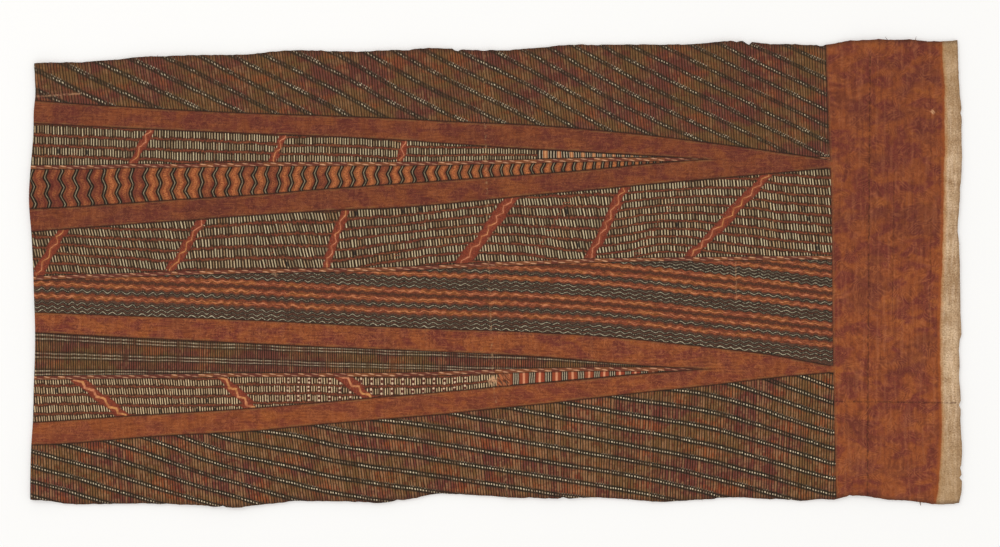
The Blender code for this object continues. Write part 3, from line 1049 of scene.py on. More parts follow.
def dashes(marks, row_count, dash_count, lean):
    """The colour of the dashed fields, with the number of the row at each point."""
    row = row_count + marks.sway * 0.13 + marks.jitter * 0.20
    row_number = row.whole()
    down = row.part() - 0.5
    row_chance = chance(row_number, 11.0)
    uneven = grain(marks.x / 8.0, row_number * 3.7, detail=1.0) - 0.5
    dash = dash_count + row_chance * 7.3 - down * lean + marks.wobble * 0.08 + uneven * 0.9
    dash_number = dash.whole()
    across = (dash.part() - 0.5).size()
    each, other, third = three_chances(dash_number, row_number, 2.0)
    region = grain(marks.x / 24.0, row_number * 2.9, 7.0)
    red_line = mixed(region.rise(0.35, 0.65), (110, 50, 38), (124, 68, 43))
    red_line = mixed(marks.grit.rise(0.52, 0.8) * 0.5, red_line, (142, 92, 58))
    red_line = mixed((1.0 - marks.grit).rise(0.48, 0.64) * 0.8, red_line, (58, 40, 30))
    within = down.size().fall(0.34, 0.47)
    colour = mixed(within * 0.9, red_line, (76, 53, 37))
    ink_reach = 0.57 - chance((dash + 0.5).whole(), row_number, 5.0) * 0.24
    ink = across.rise(0.18, 0.34) * down.size().fall(ink_reach - 0.10, ink_reach)
    colour = mixed(ink * (0.86 - marks.in_lower * 0.10), colour, (42, 35, 24))
    reach = 0.36 - each * 0.10
    width = 0.115 + other * 0.06
    stroke = across.fall(width - 0.03, width + 0.08)
    stroke = stroke * (down + (other - 0.5) * 0.10).size().fall(reach - 0.05, reach + 0.04)
    cream = mixed(each.rise(0.30, 1.0) * 0.85, (216, 196, 157), (148, 124, 91))
    cream = mixed(other.rise(0.3, 1.0) * 0.5, cream, (148, 142, 112))
    cream = mixed(region.rise(0.50, 0.70) * 0.5, cream, (190, 144, 94))
    cream = mixed(marks.in_lower * 0.5, cream, (244, 206, 158))
    strength = 0.40 + 0.56 * (1.0 - each * other)
    strength = strength * (0.58 + marks.grit * 0.55 + marks.x * 0.00026 + marks.in_lower * 0.05)
    colour = mixed(stroke * strength, colour, cream)
    blot = third.rise(0.990, 0.992)
    colour = mixed(blot * down.size().fall(0.16, 0.34) * 0.85, colour, (26, 23, 22))
    column_off = ((marks.x - DOT_COLUMN) / DOT_PITCH + 0.5).part() * DOT_PITCH - DOT_PITCH / 2 + row_chance
    from_dot = (down.size() - 0.23) * 10.0
    bare = column_off.size().fall(1.5, 2.2) * within * marks.dotted_dashes
    colour = mixed(bare * 0.9, colour, (84, 40, 32))
    dot = (column_off * column_off + from_dot * from_dot).fall(0.5, 2.0) * marks.dotted_dashes
    return mixed(dot * (0.55 + marks.grit * 0.6), colour, (226, 196, 160)), row_number


# %% [markdown]
# ## Bars between coloured blocks
# Near the tips of the two wedges there's no height left for rows, so the painter changed to one row of
# upright bars in small groups, with a block of gold or orange between each two groups.


# %% Groups of bars
LOWER_BARS = {"block": 0.29, "pitch": 0.132, "start": 0.0, "body": (142, 70, 42), "core": (226, 156, 116)}
UPPER_BARS = {"block": 0.17, "pitch": 0.22, "start": 0.5, "body": (172, 112, 66), "core": (204, 152, 104)}


def bar_groups(marks, group, above, below, plan):
    """One row of bars and blocks. The count is whole in the middle of each block."""
    number = (group + 0.5).whole()
    off = (group + 0.5).part() - 0.5
    pick = chance(number, 21.0)
    block = mixed(pick * 0.6, plan["body"], (152, 58, 40))
    block = mixed(off.size().rise(plan["block"] - 0.12, plan["block"]) * 0.6, block, (92, 50, 34))
    core = (off + (pick - 0.5) * 0.05).size().fall(0.03, 0.10)
    block = mixed(core * (0.6 + pick * 0.35), block, plan["core"])
    bar = ((0.5 - off.size()) / plan["pitch"] + plan["start"]).from_whole()
    strokes = mixed(bar.fall(0.10, 0.26) * (0.5 + 0.5 * marks.grit), (42, 34, 27), (206, 184, 152))
    colour = mixed(off.size().rise(plan["block"] - 0.01, plan["block"] + 0.02), block, strokes)
    rim = above.least(below).fall(0.5, 1.4)
    return mixed(rim * 0.8, colour, (44, 34, 26))


# %% Slashes
def slashes(colour, marks, side, down_slash, half_width, row_number):
    """A slash of plain rust with a bright stepped core, laid over the dashes."""
    step = chance(row_number, side.rise(-0.1, 0.1), 4.0)
    edge = side.size() + marks.jitter * 2.4 + (step - 0.5) * 3.4 - half_width
    body = edge.fall(-0.5, 0.5)
    bend = (down_slash / 15.3 + marks.wander * 1.1).zigzag() * 2.0 + marks.wander * 3.0 + marks.jitter * 2.4
    core = (side - bend).size()
    rust = mixed(marks.grit.rise(0.3, 0.8), (108, 48, 36), (144, 66, 42))
    rust = mixed(core.fall(0.8, 3.0) * 0.5, rust, (152, 78, 48))
    rust = mixed(edge.rise(-1.6, -0.2) * 0.5, rust, (82, 38, 32))
    colour = mixed(body * 0.95, colour, rust)
    strength = grain(down_slash / 7.0, side / 30.0, 1.0).rise(0.34, 0.6)
    glow = mixed(marks.region.rise(0.42, 0.58), (214, 140, 106), (208, 146, 88))
    broad = marks.in_lower * 0.8
    return mixed(core.fall(0.1 + broad, 0.85 + broad) * body * (0.28 + 0.55 * strength), colour, glow)


# %% [markdown]
# ## Zigzag columns
# A column is a pair of thin black zigzag strokes with a pale line between them. The ground between two
# columns is plum red near the fold and orange further on. It is tan along its sides, and streaked with
# lighter and darker paint that follows the zigzag.


# %% Zigzags
def zigzags(marks, column, down):
    lean = 0.075 - (marks.x - 40.0).most(0.0).least(150.0) * 0.0008
    steady = column + marks.wobble * 0.03 + (marks.y - 90.0) * lean / 15.0
    number = (steady + 0.5).whole()
    calm = marks.x.fall(560.0, 620.0)
    shift, reach, _ = three_chances(number, 9.0)
    swing = 0.03 + calm * (0.065 + reach * 0.04)
    turn = down + shift * 0.2 + marks.sway * 0.07
    bend = (turn.swell() + turn.zigzag()) * 0.5 * swing + marks.jitter * 0.05
    pitch = 15.3 - marks.x / 170.0 - marks.x.rise(590.0, 640.0) * 3.0
    off = ((steady + bend + 0.5).part() - 0.5).size() * pitch
    between = (steady + bend).whole()
    strip = chance(between, 5.0)
    low_end = grain(between * 3.3, marks.y / 14.0, detail=1.0)
    warm = (strip * 0.45 + low_end * 0.6 + (marks.x / 400.0).least(0.31)).rise(0.50, 0.88)
    ground = mixed(warm, (98, 44, 37), (131, 65, 39))
    streak = grain((steady + bend) * 6.0, marks.y / 8.0, 3.0, detail=2.5, roughness=0.6)
    edge_tan = off.rise(2.1, 2.8) * off.fall(3.4, 4.8)
    ground = mixed(edge_tan * (0.16 + warm * 0.3) * streak.rise(0.38, 0.54), ground, (146, 106, 62))
    ground = mixed((1.0 - streak).rise(0.48, 0.62) * 0.65, ground, (84, 38, 30))
    middle = (pitch * 0.5 - off - 0.4 + (streak - 0.5) * 4.0).size().fall(0.6, 2.6)
    ground = mixed(middle * (0.16 + warm * 0.52) * marks.grit.rise(0.30, 0.6), ground, (196, 120, 70))
    glow = grain(number * 3.1, marks.y / 6.0).rise(0.34, 0.6)
    colour = mixed(off.fall(1.9, 2.7) * 0.95, ground, (34, 29, 22))
    return mixed(off.fall(0.2, 0.70) * (0.36 + 0.46 * glow), colour, (156, 142, 114))


# %% [markdown]
# ## Rows of waves
# Counted up from the third band, the rows come in a fixed order of black and orange, thin and thick. A
# colour ramp holds that order in millimetres. More ramps hold the pen strokes as peaks: a pale line between
# two dark ones in each black row, which rises and falls with the wave, and a calmer glow along each orange
# one.

# %% Waves
WAVE_SPAN = 130.0
WAVE_ROWS = [
    (0.0, "black"), (14.0, "orange"), (20.6, "black"), (26.8, "orange"), (33.0, "brown"), (36.0, "orange"),
    (42.0, "black"), (54.6, "orange"), (60.4, "black"), (65.4, "orange"), (71.2, "brown"), (74.6, "orange"),
    (80.2, "black"), (90.2, "orange"), (96.0, "brown"), (99.0, "orange"), (104.0, "black"),
    (110.0, "orange"),
]
PALE_STROKES = [1.6, 5.8, 10.4, 23.8, 44.4, 48.4, 52.4, 62.9, 81.8, 85.2, 88.4, 106.6]
GLOWING_STROKES = [17.3, 30.0, 38.9, 57.4, 68.2, 77.3, 93.2, 101.4, 113.0]
WAVE_COLOURS = {"black": paint(84, 61, 49), "orange": paint(117, 59, 38), "brown": paint(82, 50, 37)}
LAST_STRAIGHT = 740.0


def ramp(place, stops, soft=False):
    """A ramp of plain steps of colour, or of straight slopes where it is soft."""
    found = placed("ShaderNodeValToRGB", {"Fac": place}, "Color")
    colours = found.socket.node.color_ramp
    colours.interpolation = "LINEAR" if soft else "CONSTANT"
    while len(colours.elements) < len(stops):
        colours.elements.new(1.0)
    for element, (position, colour) in zip(colours.elements, stops):
        element.position = position
        element.color = colour
    return found


def grey_of(colour):
    """A colour's brightness, as a plain value."""
    return placed("ShaderNodeRGBToBW", {"Color": colour}, "Val")


def peaks(place, middles, reach):
    """1 on each middle and 0 a reach away from it, from as many ramps as the stops need."""
    found = None
    for start in range(0, len(middles), 10):
        stops = []
        for middle in middles[start : start + 10]:
            for away, value in ((-reach, 0.0), (0.0, 1.0), (reach, 0.0)):
                stops.append(((middle + away + 3.0) / WAVE_SPAN, (value, value, value, 1.0)))
        part = grey_of(ramp(place, stops, soft=True))
        found = part if found is None else found.most(part)
    return found


def waves(marks, above_c, wave_count):
    """The long wavy rows of the field under the middle cord."""
    phase = wave_count + marks.sway * 0.18 + marks.patches * 0.6
    spread = 0.955 + (marks.x / 600.0).least(1.0) * 0.045
    past = (marks.x - LAST_STRAIGHT).most(0.0)
    level = above_c * spread - past * past * 0.0003 + marks.wobble * 0.4 + marks.sway * 0.5
    wave = phase.swell() * (1.25 - (marks.x / 600.0).least(1.0) * 0.35)
    calm_place = (level + wave * 0.65 + 3.0) / WAVE_SPAN
    place = (level + wave * 1.1 + 3.0) / WAVE_SPAN
    stops = [((start + 3.0) / WAVE_SPAN, WAVE_COLOURS[name]) for start, name in WAVE_ROWS]
    rows = ramp(calm_place, stops)
    cloud = grain(marks.x / 11.0, level / 3.4, 3.0, detail=3.0, roughness=0.6)
    rows = mixed(cloud.rise(0.50, 0.64) * 0.55, rows, (92, 46, 36))
    strand = grain(marks.x / 8.0, (level + wave * 0.65) / 1.25, 8.0, roughness=0.6)
    glow = peaks(calm_place, GLOWING_STROKES, 3.0)
    warm = mixed(marks.patches.rise(0.40, 0.60), (156, 80, 54), (166, 98, 48))
    rows = mixed(glow.rise(0.05, 0.80) * (0.34 + (1.0 - cloud) * 0.7), rows, warm)
    rows = mixed((1.0 - strand).rise(0.47, 0.58) * 0.56, rows, (66, 40, 28))
    bright = glow.rise(0.28, 0.85) * strand.rise(0.50, 0.60)
    rows = mixed(bright * (0.32 + (1.0 - cloud) * 0.7), rows, (206, 134, 94))
    rows = mixed(marks.grit.rise(0.52, 0.74) * 0.30, rows, (168, 112, 74))
    rows = mixed((1.0 - marks.grit).rise(0.52, 0.74) * 0.40, rows, (48, 32, 24))
    pale = peaks(place, PALE_STROKES, 2.0)
    fade = grain(marks.x / 30.0, level / 5.0, 12.0).rise(0.38, 0.58)
    rows = mixed(pale.rise(0.1, 0.45) * (0.66 + fade * 0.28), rows, (34, 31, 25))
    worn = (marks.grit + (1.0 - cloud) * 0.6).rise(0.60, 0.92)
    lowest = level.fall(3.2, 4.2)
    line = pale.rise(0.60, 0.90) * worn * (0.22 + fade * 0.54 + lowest * 0.34)
    return mixed(line, rows, (182, 168, 140))


# %% Cords
def cord_of(colour, marks, above):
    """A twisted line: short pale lenses that lie high and low by turns, between two dark lines."""
    off = above + marks.wobble * 0.3
    size = off.size()
    turn = marks.x / 7.6 + marks.wobble * 0.22
    within = turn.part() - 0.5
    number = turn.whole()
    low_one = (number * 0.5).part().rise(0.2, 0.3)
    pick = chance(number, 17.0)
    colour = mixed(size.fall(2.4, 3.3) * (0.45 + marks.grit * 0.5), colour, (38, 31, 24))
    strand = mixed(pick.rise(0.3, 0.8), (106, 54, 42), (132, 78, 48))
    colour = mixed(size.fall(1.5, 2.2) * 0.88, colour, strand)
    lens = (off + low_one * 1.7 - 0.85 + within * 1.2).size() + within * within * 2.6
    strength = (0.30 + pick * 0.45) * (0.7 + marks.grit * 0.5)
    return mixed(lens.fall(0.3, 0.95) * strength, colour, (224, 170, 132))


# %% [markdown]
# ## The painted bark
# The material joins the figures in the order in which the cloth was worked: the ruled ground, the dashes
# and slashes, the zigzags and waves, the cords, and then the rust dye of the bands and the end panel with
# its fine dark outline and the painted highlight and shade of its crinkles. Last come the undyed end, the
# worn creases, the painted shade along the panel's creases and the darkened edges. Each colour is laid over
# the one before it by a mask, so that only a few values are in use at a time.

# %% Painted bark, part one: places and masks
painted_face.use_nodes = True
tree = painted_face.node_tree
shader = tree.nodes["Principled BSDF"]

place_x, place_y, crease_gap = attribute_parts(tree, "place")
place = vector_of(place_x, place_y)
wander = grain(place_x / 46.0, place_y / 30.0) - 0.5
sway = (grain(place_x / 19.0, place_y / 12.0, 6.0, detail=1.0) - 0.5) * 2.0
jitter = grain(place_x / 5.0, place_y / 5.0, detail=1.0) - 0.5
bark_height, patches, flecks = bark_at(place)
grit = grain(place_x / 1.7, place_y / 1.5, 5.0, roughness=0.65)
marks = SimpleNamespace(
    x=place_x,
    y=place_y,
    wander=wander,
    sway=sway,
    jitter=jitter,
    wobble=wander * 3.4 + jitter * 1.5,
    patches=patches,
    grit=grit,
    region=grain(place_x / 58.0, place_y / 40.0, 9.0, detail=3.0, roughness=0.6),
)

a_top, a_bot, cord_1 = attribute_parts(tree, "upper_wedge")
b_top, b_bot, cord_2 = attribute_parts(tree, "middle_field")
c_top, c_bot, cord_3 = attribute_parts(tree, "lower_wedge")
d_top, d_bot, panel = attribute_parts(tree, "lower_field")
ruling, dotted, dye = attribute_parts(tree, "ruling")
SOFT = 0.3

above_a = a_top.rise(-SOFT, SOFT)
marks.below = d_bot.fall(-SOFT, SOFT)
doubled = 1.0 - above_a.most(marks.below)

# %% Painted bark, part two: ruled ground
spacing = 16.6 + above_a * 2.2 + doubled * 0.6
colour, from_line, gap = ruled_ground(marks, ruling, doubled)
colour = dotted_rows(colour, marks, dotted, spacing, from_line, gap, doubled)

# %% Painted bark, part three: dashes and slashes
row_count, dash_count, lean = attribute_parts(tree, "dashing")
side, down_slash, half_width = attribute_parts(tree, "slashing")
in_lower = cord_3.fall(-SOFT, SOFT) * d_top.rise(-SOFT, SOFT)
marks.in_lower = in_lower
marks.dotted_dashes = in_lower * place_x.rise(236.0, 300.0) * place_x.fall(470.0, 484.0)
dashed, row_number = dashes(marks, row_count, dash_count, lean)
dashed = slashes(dashed, marks, side, down_slash, half_width, row_number)
in_upper = a_bot.fall(-SOFT, SOFT) * cord_1.rise(-SOFT, SOFT)
in_middle = b_bot.fall(-SOFT, SOFT) * cord_2.rise(-SOFT, SOFT)
colour = mixed(in_upper.most(in_middle).most(in_lower), colour, dashed)

# %% Painted bark, part four: groups of bars near the tips
LOWER_BLOCK, LOWER_GROUP = 532.8, 17.4
UPPER_BLOCK = 555.8
lower_group = (place_x + wander * 6.0 - LOWER_BLOCK) / LOWER_GROUP
lower_bars = bar_groups(marks, lower_group, -cord_3, d_top, LOWER_BARS)
colour = mixed(in_lower * place_x.rise(516.5, 517.5), colour, lower_bars)
hatch = grain((place_x + place_y * 0.8) / 1.8, place_y / 6.0, 14.0)
hatched = mixed(hatch.rise(0.42, 0.58), (88, 50, 34), (176, 100, 62))
rubbed = in_lower * place_x.rise(502.5, 504.5) * place_x.fall(516.5, 519.0)
colour = mixed(rubbed * 0.9, colour, hatched)
past_block = place_x + wander * 5.0 - UPPER_BLOCK
upper_group = past_block * (0.0671 + past_block * 0.000193)
upper_bars = bar_groups(marks, upper_group, -a_bot, cord_1 - 2.0, UPPER_BARS)
colour = mixed(in_upper * place_x.rise(546.5, 547.5), colour, upper_bars)

# %% Painted bark, part five: zigzags, waves and cords
column, down, wave_count = attribute_parts(tree, "figures")
in_zigzags = cord_1.fall(-SOFT, SOFT) * b_top.rise(-SOFT, SOFT)
colour = mixed(in_zigzags, colour, zigzags(marks, column, down))
in_waves = cord_2.fall(-SOFT, SOFT) * c_top.rise(-SOFT, SOFT)
colour = mixed(in_waves, colour, waves(marks, c_top, wave_count))
for above in (cord_1, cord_2, cord_3):
    colour = cord_of(colour, marks, above)

# %% [markdown]
# ## Rust dye
# The bands and the end panel are plain dye, and what shows in them is the bark itself: broad blotches where
# the dye took more or less, long fibres, and the curling lines where the sheet has crinkled. Those curling
# lines carry painted highlight and painted shade, lighter on their raised side and darker on their low
# side. Each pair of bands is one wedge with a field cut out of it, so its depth is the least of three
# distances.


# %% Dye of the bands and the panel
def wedge_depth(top, inner_top, inner_low, low):
    """How deep a point is inside a pair of bands that meet in a wedge, in millimetres."""
    inside = (-top).least(low)
    clear_of_field = inner_top.most(-inner_low)
    return inside.least(clear_of_field)


def crinkles(marks, size, flat, seed):
    """Thin curling ridges, where a noise passes its middle value: a painted highlight on one side of each
    and a painted shade on the other.
    """
    swirl = grain(marks.x / size, marks.y / (size * flat), seed, roughness=0.55, distortion=1.6) - 0.5
    light = swirl.rise(-0.01, 0.02) * swirl.fall(0.04, 0.09)
    dark = (-swirl).rise(-0.01, 0.02) * (-swirl).fall(0.03, 0.07)
    return light, dark


rust_depth = wedge_depth(a_top, a_bot, b_top, b_bot)
rust_depth = rust_depth.most(wedge_depth(c_top, c_bot, d_top, d_bot))
rust_depth = rust_depth.most(panel) + marks.wobble * 0.22
rust_mask = rust_depth.rise(-0.3, 0.3)
blotches = grain(place_x / 24.0, place_y / 17.0, 4.0, detail=1.5, distortion=0.6)
in_panel = panel.rise(-2.0, 2.0)
rust = mixed(blotches.rise(0.40, 0.60), (116, 54, 43), (144, 76, 41))
rust = mixed(patches.rise(0.53, 0.66) * 0.45, rust, (156, 90, 40))
dusky = (1.0 - marks.region).rise(0.50, 0.62) * (0.42 + in_panel * 0.08)
rust = mixed(dusky, rust, (104, 54, 42))
fibres = grain(
    place_x / (15.0 - in_panel * 9.0),
    (place_y + sway * 1.2) / (1.7 + in_panel * 5.5),
    2.0,
    roughness=0.55,
    distortion=0.7,
)
plain = 1.0 - in_panel * 0.35
rust = mixed((1.0 - fibres).rise(0.52, 0.64) * plain * 0.5, rust, (86, 38, 29))
rust = mixed(fibres.rise(0.54, 0.66) * plain * 0.42, rust, (174, 101, 56))
ribs = grain(place_x / 3.8, place_y / 45.0, 11.0)
rust = mixed(ribs.rise(0.52, 0.68) * (0.24 + in_panel * 0.10), rust, (160, 96, 64))
rust = mixed((1.0 - ribs).rise(0.52, 0.68) * (0.28 + in_panel * 0.10), rust, (92, 44, 34))
# The crinkles are painted as light and shade: a painted highlight on one side of each ridge and a painted
# shade on the other. The bump below raises the same masks.
painted_curl_highlights, painted_curl_shades = crinkles(marks, 7.5, 1.15, 3.0)
curled = 1.0 - in_panel * (0.54 + blotches.rise(0.40, 0.60) * 0.4)
rust = mixed(painted_curl_highlights * curled * (0.33 - in_panel * 0.05) * grit.rise(0.2, 0.6), rust, (188, 114, 72))
rust = mixed(painted_curl_shades * curled * 0.36, rust, (76, 36, 28))
swirls = grain(place_x / 26.0, place_y / 21.0, 17.0, detail=1.0, distortion=0.5)
arc = (swirls * 15.0 + jitter * 0.5).from_whole() * 2.0
arc_places = grain(place_x / 13.0, place_y / 15.0, 19.0).rise(0.40, 0.60)
arc_share = arc_places * (0.12 + in_panel * 0.12)
# The arcs are painted lighter on their raised crests and darker in their hollows, as painted highlight and
# painted shade. The bump below raises the same arcs.
rust = mixed(arc.rise(0.55, 0.95) * arc_share, rust, (184, 112, 72))
rust = mixed(arc.fall(0.05, 0.45) * arc_share, rust, (84, 42, 32))
low_warmth = (-place_y).rise(60.0, 190.0) * (0.22 - in_panel * 0.18)
rust = mixed(low_warmth, rust, (150, 80, 38))
high_shade = place_y.rise(-10.0, 60.0) * (0.34 - in_panel * 0.18)
rust = mixed(high_shade, rust, (86, 45, 36))
amber_line = rust_depth.rise(0.6, 1.3) * rust_depth.fall(1.8, 2.9) * (1.0 - panel.rise(2.0, 4.0))
rust = mixed(amber_line * fibres.rise(0.42, 0.58) * 0.5, rust, (124, 92, 56))
colour = mixed(rust_mask, colour, rust)
outline = rust_depth.size().fall(0.4, 1.4)
outline = outline * (1.0 - panel.rise(2.0, 4.0)) * (1.0 - panel.rise(-4.0, -1.5) * 0.5)
outline = outline * (0.45 + 0.5 * fibres)
colour = mixed(outline, colour, (36, 28, 22))

# %% Undyed end
edge_gap, end_gap, _ = attribute_parts(tree, "edges")
border = dye + marks.wobble * 0.85
colour = mixed(border.rise(-4.5, -1.0) * 0.55, colour, (156, 84, 38))
undyed = mixed(patches.rise(0.34, 0.66), (170, 135, 99), (201, 171, 136))
slubs = grain(place_x / 2.8, place_y / 26.0, 13.0)
undyed = mixed(slubs.rise(0.46, 0.64) * 0.4, undyed, (220, 190, 160))
undyed = mixed((1.0 - slubs).rise(0.46, 0.64) * 0.35, undyed, (166, 130, 96))
undyed = mixed((1.0 - flecks).rise(0.48, 0.7) * 0.3, undyed, (150, 118, 84))
undyed = mixed(grit.rise(0.5, 0.75) * 0.45, undyed, (226, 202, 168))
undyed = mixed((1.0 - grit).rise(0.50, 0.75) * 0.65, undyed, (130, 98, 70))
undyed = mixed((dye + marks.wobble * 1.4).fall(0.0, 5.0) * 0.7, undyed, (176, 120, 68))
undyed = mixed(edge_gap.fall(10.0, 120.0) * 0.5, undyed, (160, 126, 86))
undyed = mixed(end_gap.fall(0.3, 1.4) * 0.35, undyed, (142, 110, 78))
colour = mixed(border.rise(-0.8, 1.2), colour, undyed)


# %% [markdown]
# ## Wear, marks of use and painted crease shade
# The cloth was kept folded, so an old crease down its middle has lost paint. Fainter creases cross the
# panel as dark lines, which are painted shade along their folds. A short tear near the fold, a scar and a
# rubbed spot are strokes with a start and an end, laid over the paint.


# %% Strokes of wear and painted crease shade
def stroke_mark(marks, start, end, width):
    """A soft stroke from one place to another, in millimetres of the design."""
    direction = Vector(end) - Vector(start)
    length = direction.length
    direction.normalize()
    from_x = marks.shaky_x - start[0]
    from_y = marks.shaky_y - start[1]
    on = from_x * direction.x + from_y * direction.y
    off = (from_x * direction.y - from_y * direction.x).size()
    return off.fall(width * 0.35, width) * on.rise(-1.0, 2.0) * on.fall(length - 2.0, length + 1.0)


crease_noise = grain(place_x / 3.0, place_y / 5.0, 9.0, detail=3.0, roughness=0.6)
worn_line = (crease_gap + jitter * 1.8).size().fall(0.4, 1.8) * crease_noise.rise(0.47, 0.66)
colour = mixed(worn_line * 0.40, colour, (190, 150, 108))
marks.shaky_x = place_x + jitter * 2.4
marks.shaky_y = place_y + jitter * 0.6
PALE_MARKS = [
    ((3.0, 190.8), (55.0, 194.2), 1.4, 0.4),
    ((261.0, 1.0), (267.0, -2.5), 2.6, 0.5),
    ((971.5, 176.5), (975.5, 172.5), 2.6, 0.9),
    ((496.0, -112.5), (501.5, -118.5), 5.6, 1.0),
    ((671.0, -127.0), (668.0, -248.0), 0.9, 0.25),
    ((761.0, 14.0), (762.0, -29.0), 1.0, 0.22),
]
# Dark strokes: the first and the fourth are painted shade along creases of the panel, and the others are
# dark streaks and small dark marks.
CREASE_SHADE_AND_DARK_MARKS = [
    ((906.0, 236.0), (903.0, -240.0), 1.3, 0.65),
    ((932.0, 120.0), (930.0, -60.0), 0.9, 0.4),
    ((671.0, -242.0), (684.0, -243.0), 3.4, 0.5),
    ((868.0, -138.0), (1000.0, -139.5), 1.3, 0.6),
    ((972.0, 60.0), (969.0, -90.0), 0.9, 0.4),
    ((990.0, -32.5), (992.5, -33.5), 1.8, 0.5),
    ((988.0, -116.5), (988.8, -117.0), 1.2, 1.0),
    ((988.0, -132.5), (988.8, -133.0), 1.4, 1.0),
]
# Pale strokes lighten the paint where it is worn, and dark ones lay painted crease shade and dark marks
# over it.
for tint, spots in (((206, 156, 116), PALE_MARKS), ((66, 34, 24), CREASE_SHADE_AND_DARK_MARKS)):
    # Nothing yet: a value of 0 to start from, for the wear and the painted crease shade
    worn = crease_gap * 0.0
    for start, end, width, strength in spots:
        worn = worn.most(stroke_mark(marks, start, end, width) * strength)
    colour = mixed(worn * crease_noise.rise(0.34, 0.58), colour, tint)

# %% Darkened edges and the last mottling
edge_dark = edge_gap.fall(0.5, 6.0) * 0.45
colour = mixed(edge_dark, colour, (58, 40, 32))
fine_mottle = grit * (0.50 - rust_mask * 0.30 + in_panel * 0.27)
mottle = 0.56 + rust_mask * 0.09 - in_panel * 0.045 + patches * 0.34 + fine_mottle
shade = vector_of(mottle, mottle, mottle)
colour = mixed(1.0, colour, shade, "MULTIPLY")
tree.links.new(colour.socket, shader.inputs["Base Color"])

# %% Surface of the painted bark
roughness = 0.78 + bark_height * 0.2
tree.links.new(roughness.socket, shader.inputs["Roughness"])
shader.inputs["Specular IOR Level"].default_value = 0.14
bump = tree.nodes.new("ShaderNodeBump")
bump.inputs["Strength"].default_value = 0.7
bump.inputs["Distance"].default_value = 0.0009
curl_height = (painted_curl_highlights - painted_curl_shades) * (0.1 + in_panel * 0.15) + arc * arc_share * 0.4
tree.links.new((bark_height + curl_height).socket, bump.inputs["Height"])
tree.links.new(bump.outputs["Normal"], shader.inputs["Normal"])
print("painted bark has", len(tree.nodes), "nodes")


# %% [markdown]
# ## Bare bark and the felted rim
# Inside the fold the bark was never painted, so it is pale brown, with the dye showing through in patches.
# The torn rim shows raw fibres that the rust has soaked into.


# %% Bare bark and rim
def plain_bark(material, low, high):
    """A bark finish between two colours, from the shared group."""
    material.use_nodes = True
    own = material.node_tree
    principled = own.nodes["Principled BSDF"]
    x, y, _ = attribute_parts(own, "place")
    height, patch, fleck = bark_at(vector_of(x, y))
    tone = mixed((patch * 0.7 + fleck * 0.5).rise(0.3, 0.85), low, high)
    own.links.new(tone.socket, principled.inputs["Base Color"])
    principled.inputs["Roughness"].default_value = 0.9
    principled.inputs["Specular IOR Level"].default_value = 0.2
    bumps = own.nodes.new("ShaderNodeBump")
    bumps.inputs["Strength"].default_value = 0.6
    bumps.inputs["Distance"].default_value = 0.0004
    own.links.new(height.socket, bumps.inputs["Height"])
    own.links.new(bumps.outputs["Normal"], principled.inputs["Normal"])


plain_bark(bare_face, (128, 84, 58), (158, 118, 84))
plain_bark(felted_rim, (78, 46, 34), (112, 70, 48))

# %% [markdown]
# ## Stray fibres
# Torn bark leaves single fibres standing out of its edges, and a few small tufts. Each fibre starts as a
# small five-sided disc just inside the edge. Its end face is then extruded a step at a time, turned a
# little and thinned, which is how a hair or a thorn grows in a modeller.

# %% One fibre
FIBRE_STEPS = 5
FIBRE_SIDES = 5
ROOT_DEPTH = 0.8


def add_fibre(bm, root, heading, length, width, curl):
    """Grows one fibre from its root, in millimetres."""
    turned = Matrix.Translation(root) @ heading.to_track_quat("Z", "Y").to_matrix().to_4x4()
    disc = bmesh.ops.create_circle(bm, cap_ends=True, segments=FIBRE_SIDES, radius=width / 2, matrix=turned)
    end_face = disc["verts"][0].link_faces[0]
    for _ in range(FIBRE_STEPS):
        grown = bmesh.ops.extrude_face_region(bm, geom=[end_face])["geom"]
        ring = [item for item in grown if isinstance(item, bmesh.types.BMVert)]
        end_face = next(item for item in grown if isinstance(item, bmesh.types.BMFace))
        heading = (heading + curl).normalized()
        bmesh.ops.translate(bm, verts=ring, vec=heading * length / FIBRE_STEPS)
        middle = sum((vertex.co for vertex in ring), Vector()) / FIBRE_SIDES
        bmesh.ops.scale(bm, verts=ring, vec=(0.8, 0.8, 0.8), space=Matrix.Translation(-middle))


# %% Tufts and fibres along the edges
OUTWARD = {"far": Vector((0, 1, 0)), "near": Vector((0, -1, 0)), "end": Vector((1, 0, 0))}
TUFTS = [
    ("far", 925.2, -0.45, 4.8, 1.0),
    ("far", 956.1, 0.10, 4.6, 0.9),
    ("far", 138.5, 0.25, 2.6, 0.8),
    ("near", 961.2, 0.10, 4.6, 1.8),
    ("near", 646.0, -0.60, 2.6, 0.9),
]
LOOSE_FIBRES = 34
dice = random.Random(11)


def root_at(edge, place):
    """The point of an edge nearest to a station, or to a height at the undyed end, a little way in."""
    axis, wanted = (1, place) if edge == "end" else (0, place + FOLD_X)
    nearest = min(edge_points[edge], key=lambda point: abs(point[axis] - wanted))
    return nearest - OUTWARD[edge] * ROOT_DEPTH


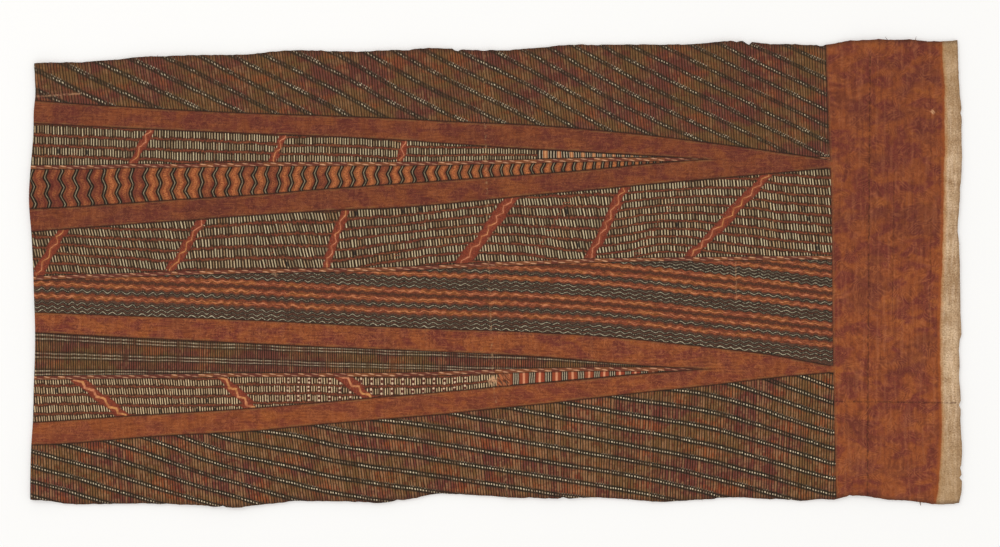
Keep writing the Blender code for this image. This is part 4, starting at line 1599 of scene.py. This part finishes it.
bm = bmesh.new()
for edge, place, lean, length, width in TUFTS:
    sideways = Vector((lean, 0, 0.05))
    heading = (OUTWARD[edge] + sideways).normalized()
    add_fibre(bm, root_at(edge, place), heading, length, width, sideways * 0.2)
for _ in range(LOOSE_FIBRES):
    edge = dice.choice(("far", "near", "far", "near", "end"))
    place = dice.uniform(-235, 235) if edge == "end" else dice.uniform(30, 970)
    sideways = OUTWARD[edge].yxz * dice.uniform(-1.0, 1.0) + Vector((0, 0, dice.uniform(-0.1, 0.3)))
    length, width = ROOT_DEPTH + dice.uniform(0.6, 2.0), dice.uniform(0.2, 0.36)
    bend = sideways.yxz * dice.uniform(-0.3, 0.3)
    heading = (OUTWARD[edge] + sideways).normalized()
    add_fibre(bm, root_at(edge, place), heading, length, width, bend)
bmesh.ops.recalc_face_normals(bm, faces=bm.faces)
fibre_places = [tuple(vertex.co) for vertex in bm.verts]
bmesh.ops.scale(bm, verts=bm.verts, vec=(MM, MM, MM))
fibre_mesh = mesh_of(bm, "stray_fibres")
keep_vectors(fibre_mesh, "place", fibre_places)
fibre_mesh.shade_smooth()
stray_fibres = add_object("stray_fibres", fibre_mesh)
fibre_finish = bpy.data.materials.new("stray_fibre")
fibre_mesh.materials.append(fibre_finish)
plain_bark(fibre_finish, (72, 42, 30), (106, 68, 47))
print("fibres", len(TUFTS) + LOOSE_FIBRES, "faces", len(fibre_mesh.polygons))

# %% Bodies, and the imported part hidden
for piece in (sheet, stray_fibres):
    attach(piece, "root")
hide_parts("bark_cloth")

# %% [markdown]
# ## Floor and light
# The photograph is a museum record: an almost white ground and even light with no cast shadow. A bright
# even surround gives that, with one large soft light high on the far left, so that the creases just read.
# The pale floor glows a little of its own, as a light table does, and so no grey gathers along the cloth's
# edges.

# %% Floor
bm = bmesh.new()
bmesh.ops.create_grid(bm, x_segments=1, y_segments=1, size=6.0)
floor_mesh = mesh_of(bm, "pale_floor")
floor = add_object("pale_floor", floor_mesh)
floor_material = bpy.data.materials.new("pale_floor")
floor_material.use_nodes = True
floor_shader = floor_material.node_tree.nodes["Principled BSDF"]
FLOOR_FINISH = {
    "Base Color": (0.62, 0.617, 0.609, 1.0),
    "Emission Color": (1.0, 0.995, 0.982, 1.0),
    "Emission Strength": 0.325,
    "Roughness": 0.9,
    "Specular IOR Level": 0.1,
}
for name, value in FLOOR_FINISH.items():
    floor_shader.inputs[name].default_value = value
floor_mesh.materials.append(floor_material)

# %% Light
world = bpy.data.worlds.new("studio_surround")
bpy.context.scene.world = world
world.use_nodes = True
surround = world.node_tree.nodes["Background"]
surround.inputs["Color"].default_value = (1.0, 0.99, 0.975, 1.0)
surround.inputs["Strength"].default_value = 0.85


def soft_light(name, place, size, power):
    data = bpy.data.lights.new(name, "AREA")
    data.shape = "SQUARE"
    data.size = size
    data.energy = power
    light = add_object(name, data)
    light.location = place
    light.rotation_euler = (-Vector(place)).to_track_quat("-Z", "Y").to_euler()


soft_light("far_left_softbox", (-1.7, 1.5, 3.3), 1.6, 32.0)
soft_light("near_right_fill", (2.2, -1.9, 3.2), 2.2, 14.0)
